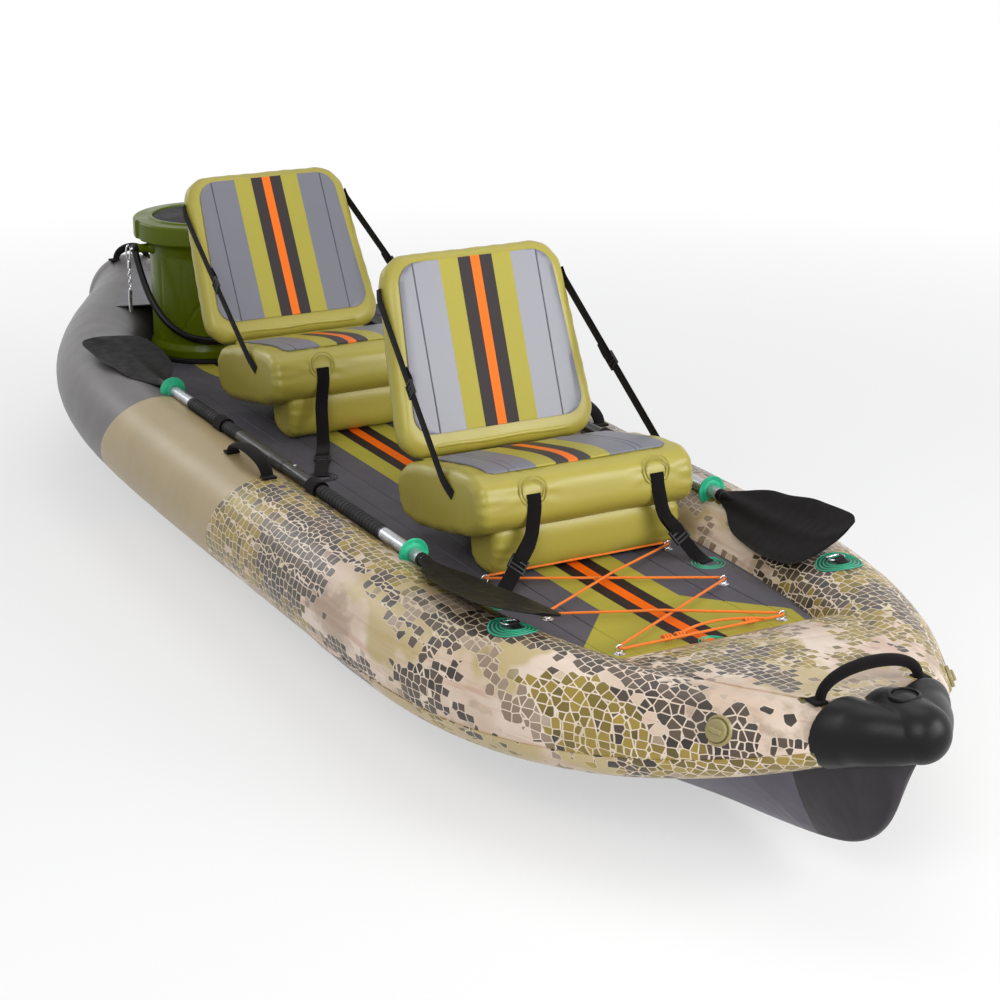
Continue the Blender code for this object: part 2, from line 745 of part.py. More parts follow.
def tube_fittings():
    """Air valves near the bow and the D-ring patches on the tubes."""
    for name, side in SIDES.items():
        point, normal = on_tube(side, BOW_AXIS_Y + 0.148, 15)
        place = facing(point, normal)
        body = cylinder(name + "_valve_body", 0.026, 0.016, place @ Matrix.Translation((0, 0, -0.012)),
                        "valve_plastic", cutter=True)
        combine(bpy.data.objects[name + "_tube"], [body], "UNION")
        top = place @ Matrix.Translation((0, 0, 0.004 + GAP))
        cap = cylinder(name + "_valve_cap", 0.019, 0.006, top, "valve_plastic", top_radius=0.017)
        bar = box(name + "_valve_bar", (0.008, 0.026, 0.008), top @ Matrix.Translation((0, 0, 0.008)), "valve_plastic",
                  bevel=0.001, cutter=True)
        combine(cap, [bar], "UNION")
        pivot_at(cap, point)
        point, normal = on_tube(side, BOW_AXIS_Y + 0.582, 94)
        place = facing(point, normal)
        patch = cylinder(name + "_ring_patch", PATCH_R, 0.03, place @ Matrix.Translation((0, 0, -0.02)), "teal_rubber",
                         sides=24)
        combine(patch, [TUBE_SKINS[name]], "INTERSECT")
        combine(patch, TUBE_CUTS, "DIFFERENCE")
        keeper = place @ Matrix.Translation((0, 0, PATCH_T + 4 * GAP))
        loop = []
        for x, y in rounded_rectangle(0.034, 0.026, 0.010, 3):
            loop.append(keeper @ Vector((x, y + 0.013, 0.0024)))
        ring = tube(name + "_d_ring", loop, 0.0022, "steel", rings=1, cyclic=True)
        pivot_at(ring, keeper @ Vector((0, 0, 0.0024)))


tube_fittings()


# Seats


def seat_frame(name):
    """The seat slab's own frame, from the foot of its hinge: it lies nose-up and reaches a little behind the hinge."""
    back = Matrix.Translation((0, SEAT_BACKS[name] - SEAT_D / 2, SEAT_MID))
    return back @ Matrix.Rotation(math.radians(-SEAT_TILT), 4, "X")


def chamber(name, half_w, a, b, power, place, count=16):
    """An inflated cushion chamber: a soft section run along X, drawn in at both ends."""
    section = superellipse(a, b, power, count)
    ends = ((1.0, 0.70), (0.985, 0.87), (0.95, 0.965), (0.87, 1.0))
    stations = [(-x, s) for x, s in ends] + [(x, s) for x, s in reversed(ends)]
    loops = []
    for x, scale in stations:
        inset = (1 - scale) * min(a, b)
        loops.append([place @ Vector((x * half_w, y * (a - inset) / a, z * (b - inset) / b)) for y, z in section])
    return loft(name, loops, "olive_fabric")


def seat_top(y):
    """Height of the seat chamber's top in its own frame, at a distance y behind its middle."""
    t = min(abs(y) / (SEAT_D / 2), 1.0)
    return SEAT_T / 2 * (1 - t**3.5) ** (1 / 3.5)


def board_mesh(name, foot_w, head_w, height, corner, z0, front, back, edge, kind, frame):
    """A flat panel, wider at the foot, with soft edges, in the backrest's frame: X across, Y back, Z up."""
    depth = back - front
    levels = [(0.0, 1.0), (0.12, 0.35), (0.36, 0.0), (0.64, 0.0), (0.88, 0.35), (1.0, 1.0)]
    if edge == 0:
        levels = [(0.0, 0.0), (1.0, 0.0)]
    loops = []
    for t, inset in levels:
        cut = inset * edge
        loop = []
        for x, z in rounded_rectangle(2.0, height - 2 * cut, max(corner - cut, 0.004)):
            up = (z + height / 2) / height
            half = foot_w / 2 + (head_w - foot_w) / 2 * up
            x = math.copysign(1.0, x) * (half - cut - (1.0 - abs(x)))
            loop.append(frame @ Vector((x, front + depth * t, z0 + height / 2 + z)))
        loops.append(loop)
    return loft(name, loops, kind)


def strap(name, points, wide, buckle_at, frame=None):
    """A webbing strap with its buckle as one piece."""
    body = ribbon(name, points, wide, STRAP_W, STRAP_T, "webbing")
    a, b = Vector(points[buckle_at]), Vector(points[buckle_at + 1])
    across = Vector(wide[buckle_at] if isinstance(wide, list) else wide)
    along = (b - a).normalized()
    normal = along.cross(across)
    place = facing((a + b) / 2, normal, along)
    buckle = box(name + "_buckle", (STRAP_W + 0.007, 0.032, 0.009), place, "webbing", bevel=0.002, cutter=True)
    return combine(body, [buckle], "UNION")


def seat(name, hinge_y, recline):
    """One seat: base chambers, foam pad, folding backrest, side straps and hold-down straps."""
    shift = SEAT_SHIFTS[name]
    base = Matrix.Translation((shift, hinge_y, 0))
    half = SEAT_W / 2
    local = seat_frame(name)
    slab = base @ local
    upper = chamber(name + "_seat_upper", half, SEAT_D / 2, SEAT_T / 2, 3.5, slab)
    heel = box(name + "_seat_heel", (0.20, 0.07, 0.06), base @ Matrix.Translation((0, -0.030, DECK_Z + GAP + 0.03)),
               "olive_fabric", bevel=0.008, cutter=True)
    web = SEAT_HINGE_Z - SEAT_MID
    strip = box(name + "_hinge_strip", (BOARD_FOOT_W - 2 * BOARD_CORNER, HINGE_STRIP_T, web),
                base @ Matrix.Translation((-shift, -GAP - HINGE_STRIP_T / 2, SEAT_HINGE_Z - GAP - web / 2)),
                "olive_fabric", cutter=True)
    combine(upper, [heel, strip], "UNION")
    low_a = LOWER_D / 2
    low_b = (SEAT_FRONT_UNDER + LOWER_TUCK - DECK_Z - GAP) / 2
    front = local @ Vector((0, -SEAT_D / 2, -SEAT_T / 4))
    lower = base @ Matrix.Translation((LOWER_SHIFT, front.y + low_a + LOWER_INSET, DECK_Z + GAP + low_b))
    lower = chamber(name + "_seat_lower", LOWER_W / 2, low_a, low_b, 2.8, lower)
    under = slab @ Matrix.Translation((0, 0, -GAP))
    under = chamber(name + "_seat_under", half + GAP, SEAT_D / 2 + GAP, SEAT_T / 2, 3.5, under)
    move_to_cutters(under)
    combine(lower, [under], "DIFFERENCE")
    loops = []
    for y in spread(-SEAT_D / 2 + 0.035, SEAT_D / 2 - SEAT_BACKS[name] - 0.052, 8):
        low = seat_top(y) + GAP
        pad = SEAT_PAD_W / 2
        corners = ((-pad, low), (pad, low), (pad, low + FOAM), (-pad, low + FOAM))
        loops.append([slab @ Vector((x, y, z)) for x, z in corners])
    loft(name + "_seat_pad", loops, "seat_foam")

    hinge = Vector((0, hinge_y, SEAT_HINGE_Z))
    lean = Matrix.Translation(hinge) @ Matrix.Rotation(math.radians(-recline), 4, "X")
    height = BOARD_FOOT + PAD_H + BOARD_HEAD
    board = board_mesh(name + "_backrest", BOARD_FOOT_W, BOARD_HEAD_W, height, BOARD_CORNER, 0.0, 0.0, BOARD_T,
                       BOARD_EDGE, "olive_fabric", lean)
    pivot_at(board, hinge)
    taper = (BOARD_HEAD_W - BOARD_FOOT_W) / height
    pad_foot_w = BOARD_FOOT_W + taper * BOARD_FOOT - 2 * PAD_EDGE
    pad_head_w = BOARD_FOOT_W + taper * (BOARD_FOOT + PAD_H) - 2 * PAD_EDGE
    pad = board_mesh(name + "_backrest_pad", pad_foot_w, pad_head_w, PAD_H, BOARD_CORNER * 0.7, BOARD_FOOT,
                     -FOAM - GAP, -GAP, 0, "seat_foam", lean)
    pivot_at(pad, hinge)

    for side_name, side in SIDES.items():
        up = height * 0.8
        edge = BOARD_FOOT_W / 2 + taper / 2 * up
        close = 2 * GAP + STRAP_T / 2
        sewn = lean @ Vector((side * (edge + taper / 2 * 0.02 + close + GAP), BOARD_T / 2, up + 0.02))
        high = lean @ Vector((side * (edge + 0.002 + STRAP_T), BOARD_T / 2, up))
        side_x = side * (half + 0.003 + STRAP_T)
        low = slab @ Vector((side_x, -0.05, SEAT_T * 0.31))
        foot = slab @ Vector((side * (half + close), -0.078, SEAT_T * 0.12))
        path = [sewn, high, high.lerp(low, 0.45), high.lerp(low, 0.56), low, foot]
        run = (low - high).normalized()
        wide = run.cross(Vector((side, 0, 0)))
        strap(f"{name}_{side_name}_side_strap", path, wide, 2)

        x_top = shift + 0.012 + side * 0.138
        top = slab @ Vector((0, -SEAT_D / 2 - STRAP_T / 2 - GAP, 0))
        flat = slab.to_3x3() @ Vector((0, 0, 0.013))
        end_x, reach, landing = HOLD_DOWNS[name]
        end_x = side * end_x
        end_y = top.y - reach
        land_x = x_top + (end_x - x_top) * landing
        path = [
            Vector((x_top, top.y + flat.y, top.z + flat.z)),
            Vector((x_top, top.y - flat.y, top.z - flat.z)),
            Vector((x_top + side * 0.010, top.y - 0.008, SEAT_FRONT_UNDER - 0.004)),
            Vector((land_x, top.y - 0.058, DECK_Z + 0.013)),
            Vector((end_x - side * 0.004, end_y + 0.016, pad_top(end_y) + GAP + 2 * STRAP_T)),
            Vector((end_x, end_y, pad_top(end_y) + GAP + STRAP_T)),
        ]
        strap(f"{name}_{side_name}_hold_down", path, Vector((1, 0, 0)), 2 if name == "front" else 3)


for seat_name, seat_hinge in SEAT_HINGE_YS.items():
    seat(seat_name, seat_hinge, RECLINES[seat_name])


# Bungee lacing


def bungee():
    """Deck eyes in two rows and the elastic cord laced through them in a crossed loop."""
    for i, (x, y) in enumerate(ANCHORS):
        low = max(pad_top(y - EYE_PLATE), pad_top(y), pad_top(y + EYE_PLATE)) + GAP
        for name, side in SIDES.items():
            plate = cylinder(f"{name}_eye_{i + 1}", EYE_PLATE, 0.002, Matrix.Translation((side * x, y, low)), "steel",
                             sides=12)
            loop = []
            for k in range(10):
                turn = 2 * math.pi * (k + 0.5) / 10
                up = low + BUNGEE_LIFT + EYE_R + EYE_R * math.sin(turn)
                loop.append(Vector((side * x + EYE_R * math.cos(turn), y, up)))
            ring = tube(f"eye_ring_{name}_{i}", loop, EYE_WIRE, "steel", rings=0, cutter=True, cyclic=True)
            combine(plate, [ring], "UNION")
    (x1, y1), (x2, y2), (x3, y3) = ANCHORS
    route = [(x1, y1), (-x1, y1), (x2, y2), (-x3, y3), (x3, y3), (-x2, y2)]
    over = (4, 5)
    turn_r = 0.007
    hang = EYE_R * math.cos(math.radians(18)) - EYE_WIRE - BUNGEE_R - GAP
    points = []
    count = len(route)
    for i, (x, y) in enumerate(route):
        before = Vector((*route[i - 1], 0))
        here = Vector((x, y, 0))
        after = Vector((*route[(i + 1) % count], 0))
        side = 1 if x > 0 else -1
        hub = here - Vector((side * turn_r, 0, 0))
        arrive = (hub - before).normalized()
        leave = (after - hub).normalized()
        bend = 1 if arrive.cross(leave).z > 0 else -1
        start = math.atan2(arrive.y, arrive.x) - bend * math.pi / 2
        end = math.atan2(leave.y, leave.x) - bend * math.pi / 2
        while (end - start) * bend < 0:
            end += bend * 2 * math.pi
        for k in range(5):
            turn = start + (end - start) * k / 4
            height = pad_top(y) + GAP + BUNGEE_LIFT + EYE_R + hang
            points.append(Vector((hub.x + turn_r * math.cos(turn), hub.y + turn_r * math.sin(turn), height)))
        if i in over:
            middle = (hub + after) / 2
            middle.z = pad_top(middle.y) + BUNGEE_LIFT + EYE_R + hang + 2 * BUNGEE_R + 0.003
            points.append(middle)
    tube("bungee_cord", points, BUNGEE_R, "bungee", rings=1, cyclic=True)


bungee()


# Bucket cooler


def cooler():
    """A lidded bucket cooler on the rear deck, with its bail, foot gasket, clip and tie-down strap."""
    stand = Matrix.Translation((0, COOLER_Y, deck_z(COOLER_Y) + GAP))
    foot = [(0.128, 0), (COOLER_FOOT_R, 0), (COOLER_FOOT_R, 0.012), (0.128, 0.012)]
    turned("cooler_foot", foot, stand, "rubber")
    base = stand @ Matrix.Translation((0, 0, 0.012 + GAP))
    inner = COOLER_R - COOLER_WALL
    shell = [
        (0, 0), (COOLER_FOOT_R - 0.004, 0), (COOLER_FOOT_R - 0.001, 0.02), (COOLER_R, 0.036),
        (COOLER_R, COOLER_H - 0.066), (COOLER_R + 0.008, COOLER_H - 0.042), (RIM_R, COOLER_H - 0.028),
        (RIM_R, COOLER_H), (0, COOLER_H),
    ]
    body = turned("cooler_body", shell, base, "cooler_green")
    ears = []
    for side in (-1, 1):
        turn = Matrix.Rotation(side * math.pi / 2, 4, "Y")
        at = base @ Matrix.Translation((0, 0, BAIL_Z)) @ turn
        ears.append(cylinder(f"cooler_ear_{side}", 0.011, BAIL_ARM - EYE_PLATE_T / 2 - 0.0015, at, "cooler_green", sides=14, cutter=True))
        ears.append(cylinder(f"cooler_pin_{side}", PIN_R, PIN_END, at, "steel", sides=12, cutter=True))
    hollow = turned("cooler_hollow", [(0, COOLER_WALL), (inner, COOLER_WALL), (inner, COOLER_H - 0.05),
                                      (inner + 0.006, COOLER_H), (inner + 0.006, COOLER_H + 0.01),
                                      (0, COOLER_H + 0.01)], base, "cooler_green", cutter=True)
    combine(body, ears, "UNION")
    combine(body, [hollow], "DIFFERENCE")

    top = base @ Matrix.Translation((0, 0, COOLER_H + GAP))
    inside = RIM_R + 0.002
    lid = [
        (0, 0), (inside, 0), (inside, -LID_SKIRT), (LID_R - 0.002, -LID_SKIRT), (LID_R, -LID_SKIRT + 0.004),
        (LID_R, LID_PLATE - 0.004), (LID_R - 0.004, LID_PLATE), (INSERT_R + 0.014, LID_PLATE),
        (INSERT_R + 0.012, LID_PLATE + 0.004), (INSERT_R + 0.002, LID_PLATE + 0.004), (INSERT_R, 0.012), (0, 0.012),
    ]
    cap = turned("cooler_lid", lid, top, "cooler_green", sides=40)
    notches = []
    for i, turn in enumerate((0.0, 180.0)):
        spin = Matrix.Rotation(math.radians(turn), 4, "Z")
        at = top @ spin @ Matrix.Translation((LID_R + 0.004, 0, 0))
        notches.append(box(f"cooler_notch_{i}", (0.02, 0.03, 0.09), at, "cooler_green", cutter=True))
    combine(cap, notches, "DIFFERENCE")
    pivot_at(cap, top.translation)
    insert = turned("cooler_lid_insert", [(0, 0.012 + GAP), (INSERT_R - 0.001, 0.012 + GAP), (INSERT_R - 0.001, 0.023),
                                          (INSERT_R - 0.006, 0.025), (0, 0.025)], top, "rubber")
    pivot_at(insert, top.translation)

    hinge = base @ Matrix.Translation((0, 0, BAIL_Z))
    drop = Matrix.Rotation(math.radians(-BAIL_REST), 4, "X")
    arm_x = BAIL_ARM
    points = []
    steps = 18
    for i in range(steps + 1):
        turn = math.pi * i / steps
        c = math.cos(turn)
        s = math.sin(turn)
        if i in (0, steps):
            points.append(hinge @ drop @ Vector((c * arm_x, 0, 0)))
            continue
        scale = (abs(c) ** 2.8 + abs(s) ** 2.8) ** (-1 / 2.8)
        points.append(hinge @ drop @ Vector((arm_x * c * scale, 0, -BAIL_REACH * s * scale)))
    bail = tube("cooler_bail", points, BAIL_R, "moulded_black", rings=2)
    plates = []
    holes = []
    for side in (-1, 1):
        turn = Matrix.Rotation(side * math.pi / 2, 4, "Y")
        start = hinge @ turn @ Matrix.Translation((0, 0, BAIL_ARM - EYE_PLATE_T / 2))
        plates.append(cylinder(f"bail_eye_{side}", EYE_PLATE_R, EYE_PLATE_T, start, "moulded_black", sides=16, cutter=True))
        holes.append(cylinder(f"bail_hole_{side}", PIN_R + 0.0006, 0.06, start @ Matrix.Translation((0, 0, -0.02)),
                              "moulded_black", sides=12, cutter=True))
    combine(bail, plates, "UNION")
    combine(bail, holes, "DIFFERENCE")
    pivot_at(bail, hinge.translation)

    clip_top = hinge.translation + Vector((-PIN_END - CLIP_HOOK_R + 0.0005, 0, 0.0))
    points = [
        clip_top + Vector((0.0, 0.0, 0.012)), clip_top + Vector((-0.003, 0.004, -0.012)),
        clip_top + Vector((-0.004, 0.003, -0.05)), clip_top + Vector((-0.003, -0.002, -0.085)),
        clip_top + Vector((0.0, 0.0, -0.12)), clip_top + Vector((0.0, 0.0, -0.165)),
    ]
    tube("cooler_clip", points, 0.004, "steel", rings=2, radii=[CLIP_HOOK_R, CLIP_HOOK_R, 0.0065, 0.0055, 0.0035, 0.0015])


cooler()


# Paddles


def blade(name, start, end, roll, long_side):
    """A paddle blade: a thin scooped leaf on a round neck, rolled about the shaft, with one long edge."""
    frame = start @ Matrix.Rotation(math.radians(roll), 4, "Y")
    outline = [
        (0.0, -0.012, 0.012), (0.11, -0.026, 0.030), (0.27, -0.060, 0.054), (0.44, -0.074, 0.062),
        (0.60, -0.080, 0.074), (0.74, -0.078, 0.076), (0.86, -0.070, 0.077), (0.95, -0.036, 0.075),
        (1.0, 0.008, 0.064),
    ]
    loops = []
    for t, short, long in outline:
        ridge = BLADE_T * (1.7 - 1.3 * t)
        rim = 0.0016
        mid = long_side * (short + long) / 2 * t
        wide = BLADE_W / 0.172
        low = min(long_side * short, long_side * long) * wide
        high = max(long_side * short, long_side * long) * wide
        dish = 0.006 * math.sin(math.pi * t)
        scoop = BLADE_SCOOP * t * t
        ring = [
            (low, -rim + dish), (mid - 0.012, -ridge / 2), (mid + 0.012, -ridge / 2), (high, -rim + dish),
            (high, rim + dish), (mid + 0.012, ridge / 2), (mid - 0.012, ridge / 2), (low, rim + dish),
        ]
        loops.append([frame @ Vector((x, end * t * BLADE_L, z + scoop)) for x, z in ring])
    return loft(name, loops, "blade_plastic", cutter=True)


def paddle(name, side):
    """A two-piece double-bladed paddle, lying on a side tube: each half with its blade and drip ring."""
    shift = PADDLE_SHIFTS[name]
    across = side * (half_breadth(0.0) - PADDLE_INBOARD[name])
    axis = Matrix.Translation((across, shift, TUBE_Z + TUBE_R + PADDLE_LIFT[name]))
    middle = sum(RING_YS) / 2
    for end, ring_y, tag in ((-1, RING_YS[0], "front"), (1, RING_YS[1], "rear")):
        tip = ring_y + end * 0.050
        ys = [middle + end * GAP / 2, ring_y - end * 0.21, ring_y - end * 0.20, ring_y - end * 0.012, tip]
        radii = [SHAFT_R, SHAFT_R, SHAFT_R * 0.92, SHAFT_R * 0.92, SHAFT_R * 0.9]
        half = tube(f"{name}_paddle_{tag}", [axis @ Vector((0, y, 0)) for y in ys], SHAFT_R, "shaft_carbon", rings=4,
                    radii=radii)
        turn = Matrix.Rotation(-end * math.pi / 2, 4, "X")
        at = axis @ Matrix.Translation((0, ring_y, 0)) @ turn
        grip = SHAFT_R + 0.004
        profile = [(0, -0.012), (grip, -0.012), (grip + 0.001, -0.002), (RING_R, 0.002), (RING_R, 0.006), (grip, 0.0061),
                   (0, 0.0061)]
        ring = turned(f"{name}_{tag}_drip_ring", profile, at, "teal_rubber", sides=18, cutter=True)
        start = axis @ Matrix.Translation((0, ring_y + end * 0.045, 0))
        leaf = blade(f"{name}_{tag}_blade", start, end, BLADE_ROLLS[name + "_" + tag], BLADE_LONG[name + "_" + tag])
        combine(half, [ring, leaf], "UNION")
        combine(half, TUBE_CUTS, "DIFFERENCE")
    for i, y in enumerate(HOLDER_YS):
        loops = []
        for k in range(11):
            turn = math.radians(-38 + 256 * k / 10)
            out = SHAFT_R + 0.0055
            low = SHAFT_R + 0.0015
            c = math.cos(turn)
            s = math.sin(turn)
            ring = [(low * c, y - 0.021 - shift, low * s), (low * c, y + 0.021 - shift, low * s),
                    (out * c, y + 0.021 - shift, out * s), (out * c, y - 0.021 - shift, out * s)]
            loops.append([axis @ Vector(q) for q in ring])
        holder = loft(f"{name}_paddle_holder_{i + 1}", loops, "webbing")
        combine(holder, TUBE_CUTS, "DIFFERENCE")


for paddle_name, paddle_side in SIDES.items():
    paddle(paddle_name, paddle_side)
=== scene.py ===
"""Looks of the two-person inflatable fishing boat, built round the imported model.

Lengths are in metres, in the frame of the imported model: the bow points along -Y, +X is port and +Z is up.
"""

from math import asin, atan2, cos, degrees, exp, hypot, pi, radians, sin, sqrt

import bmesh
import bpy
from mathutils import Matrix, Vector, noise


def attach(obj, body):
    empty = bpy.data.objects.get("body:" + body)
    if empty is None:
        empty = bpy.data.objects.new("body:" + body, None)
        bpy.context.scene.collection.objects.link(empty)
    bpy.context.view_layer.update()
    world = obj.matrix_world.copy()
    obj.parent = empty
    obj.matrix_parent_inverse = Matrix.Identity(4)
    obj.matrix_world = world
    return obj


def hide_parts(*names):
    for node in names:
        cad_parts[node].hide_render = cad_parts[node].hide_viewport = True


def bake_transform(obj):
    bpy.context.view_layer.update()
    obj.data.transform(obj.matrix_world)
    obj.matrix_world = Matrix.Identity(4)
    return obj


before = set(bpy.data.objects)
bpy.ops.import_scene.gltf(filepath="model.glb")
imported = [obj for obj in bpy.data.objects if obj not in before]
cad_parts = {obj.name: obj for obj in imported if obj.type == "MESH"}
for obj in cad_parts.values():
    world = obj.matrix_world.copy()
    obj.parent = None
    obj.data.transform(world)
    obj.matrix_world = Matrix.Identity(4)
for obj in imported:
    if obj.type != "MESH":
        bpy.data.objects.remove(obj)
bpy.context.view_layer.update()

SIDES = {"starboard": -1, "port": 1}
GAP = 0.0003

# Hull lines, as in the part
TUBE_R = 0.119
BOW_R = 0.049
BOW_TAPER = 2.72
STERN_R = 0.122
TUBE_Z = 0.222
BOW_RISE = 0.0925
STERN_RISE = 0.043
WIDEST_Y = -0.715
BOW_FULLNESS = 2.56
BOW_FLARE = 1.117
BOW_SWEEP = 3.2
STERN_FULLNESS = 6.818
STERN_FLARE = 1.743
STERN_SWEEP = 4.759
HALF = 1.033 / 2 - TUBE_R
BOW_HALF = BOW_R + 0.031
BOW_Y = -1.735
STERN_Y = 1.7705
TIP_Y = -1.8925
DECK_Z = 0.270
STERN_DECK_DROP = 0.026
DECK_LEVEL_Y = 1.032
DECK_RAMP = 0.33
PAD_THICK = 0.005
PAD_MARGIN = 0.026
COVER_Y = BOW_Y + 0.473
STERN_COVER_Y = STERN_Y - 0.44
NOSE_Z = 0.3385
NOSE_WALL = 0.0080
NOSE_BULB_R = 0.050

# Keel, as in the part
FOREFOOT_Y = BOW_Y + 0.515
FOREFOOT_FADE = 0.62
FOREFOOT_TOP = 0.262
FOREFOOT_HALF = 0.008
KEEL_HALF = 0.12
STERN_KEEL_Y = STERN_Y - 0.55
STERN_KEEL_RISE = 0.11
STERN_KEEL_HALF = 0.03
GUARD_Y = BOW_Y + 0.165
GUARD_TIP_Y = BOW_Y - 0.065
GUARD_SLANT = 0.26
GUARD_EDGE = -1.589

# Patches and valves on the tubes: place along the boat, and angle up from outboard
RING_Y = BOW_Y + 0.582
RING_ANGLE = 94
VALVE_Y = BOW_Y + 0.148
VALVE_ANGLE = 15

# Seats, as in the part
HINGE_YS = {"front": -0.4717, "rear": 0.5703}
RECLINES = {"front": 20.6, "rear": 28.8}
SEAT_SHIFTS = {"front": 0.014, "rear": 0.030}
SEAT_BACKS = {"front": 0.050, "rear": 0.024}
HINGE_Z = 0.4345
SEAT_MID = HINGE_Z - 0.040
SEAT_TILT = 11.0
SEAT_W = 0.485
SEAT_D = 0.375
SEAT_T = 0.136
BOARD_T = 0.055
BOARD_H = 0.4144
BOARD_FOOT = 0.229
BOARD_NARROWS = 0.025
BOARD_CORNER = 0.062
BOARD_EDGE = 0.024
PAD_CORNER = 0.043
PAD_HALF = 0.2
SEAM_X = 0.142
OUTER_SEAM_X = 0.195
SEAM_W = 0.0012
TIE_MID = 0.012
TIE_HALF = 0.138
# For each seat: x of the strap's end, its reach forward, and the share of the way out where it lands
HOLD_DOWNS = {"front": (0.233, 0.084, 0.8), "rear": (0.212, 0.245, 0.25)}

# Lacing, as in the part
ANCHORS = ((0.206, -0.771), (0.193, -0.993), (0.174, -1.2165))
EYE_R = 0.0075
EYE_WIRE = 0.0015
CORD_R = 0.0026

# Cooler, as in the part
COOLER_Y = 1.19
COOLER_HINGE_Z = 0.281
BAIL_DROP = 33.5
BAIL_R = 0.190
CLIP_X = -0.2070

# Paddles, as in the part
PADDLE_X = {"starboard": 0.0554, "port": 0.0414}
PADDLE_LIFT = {"starboard": 0.003, "port": 0.0075}
PADDLE_SHIFTS = {"starboard": 0.0, "port": 0.041}
ROLLS = {"starboard_front": 14.0, "starboard_rear": -4.0, "port_front": -38.0, "port_rear": 14.0}
LONG_SIDES = {"starboard_front": 1, "starboard_rear": -1, "port_front": 1, "port_rear": -1}
BLADE_L = 0.40
# Share of the blade's length, and its short and its long edge there
BLADE_LINES = [
    (0.0, -0.012, 0.012), (0.11, -0.026, 0.030), (0.27, -0.060, 0.054), (0.44, -0.074, 0.062),
    (0.60, -0.080, 0.074), (0.74, -0.078, 0.076), (0.86, -0.070, 0.077), (0.95, -0.036, 0.075),
    (1.0, 0.008, 0.064),
]


def rgb(r, g, b):
    """An sRGB colour from 0 to 255, as the linear colour that a shader takes."""
    parts = (c / 255 for c in (r, g, b))
    return tuple(c / 12.92 if c <= 0.04 else ((c + 0.055) / 1.055) ** 2.4 for c in parts) + (1.0,)


OLIVE = rgb(164, 153, 64)
GREEN = rgb(168, 158, 62)
ORANGE = rgb(236, 102, 4)
PAD_ORANGE = rgb(240, 112, 0)
DARK = rgb(34, 24, 25)
PAD_GREY = rgb(118, 118, 128)
DECK_GREY = rgb(84, 81, 88)
TUBE_GREY = rgb(84, 80, 82)
TAN = rgb(168, 148, 108)
CREAM = rgb(228, 210, 194)
COOLER = rgb(88, 102, 3)

# Joins of the side tubes' colours: place along the boat at JOIN_Z, lean, and the colour aft of it
JOIN_Z = 0.341
JOINS = ((-0.16, 0.475, TAN), (0.507, 0.655, TUBE_GREY))


# Materials


def node(tree, kind, inputs=None, **settings):
    """A shader node with its settings, and its inputs linked or set."""
    made = tree.nodes.new("ShaderNode" + kind)
    for key, value in settings.items():
        setattr(made, key, value)
    for key, value in (inputs or {}).items():
        socket = made.inputs[key]
        if isinstance(value, bpy.types.NodeSocket):
            tree.links.new(value, socket)
        else:
            socket.default_value = value
    return made


def linked(kind, inputs, **settings):
    """A node in the tree that its first linked input belongs to."""
    tree = next(value.id_data for value in inputs.values() if isinstance(value, bpy.types.NodeSocket))
    return node(tree, kind, inputs, **settings)


def math_node(operation, a, b=0.0):
    return linked("Math", {0: a, 1: b}, operation=operation).outputs[0]


def times(a, b):
    return math_node("MULTIPLY", a, b)


def plus(a, b):
    return math_node("ADD", a, b)


def distance(value, centre=0.0):
    return math_node("ABSOLUTE", math_node("SUBTRACT", value, centre))


def mix(factor, a, b, blend="MIX"):
    made = linked("Mix", {0: factor, 6: a, 7: b}, data_type="RGBA", blend_type=blend)
    return made.outputs[2]


def rescale(value, low, high, start, end):
    """A value taken from the range low to high into the range start to end, and held at its ends."""
    return linked("MapRange", {0: value, 1: low, 2: high, 3: start, 4: end}).outputs[0]


def step(value, edge, soft=0.0):
    """0 below the edge and 1 above it, over a soft width."""
    return rescale(value, edge - soft / 2, edge + soft / 2 + 1e-6, 0.0, 1.0)


def noise_at(vector, scale, detail=3.0, rough=0.5):
    made = linked("TexNoise", {"Vector": vector, "Scale": scale, "Detail": detail, "Roughness": rough})
    return made.outputs[0]


def shaded(colour, light):
    """A colour made lighter or darker by a value."""
    return mix(1.0, colour, linked("CombineColor", {0: light, 1: light, 2: light}).outputs[0], "MULTIPLY")


def bumped(depth, height, **normal):
    made = linked("Bump", {"Strength": 1.0, "Distance": depth, "Height": height, **normal})
    return made.outputs[0]


def axes_of(vector):
    return linked("SeparateXYZ", {0: vector}).outputs


def moved(vector, shift, size=(1.0, 1.0, 1.0)):
    return linked("Mapping", {0: vector, 1: shift, 3: size}).outputs[0]


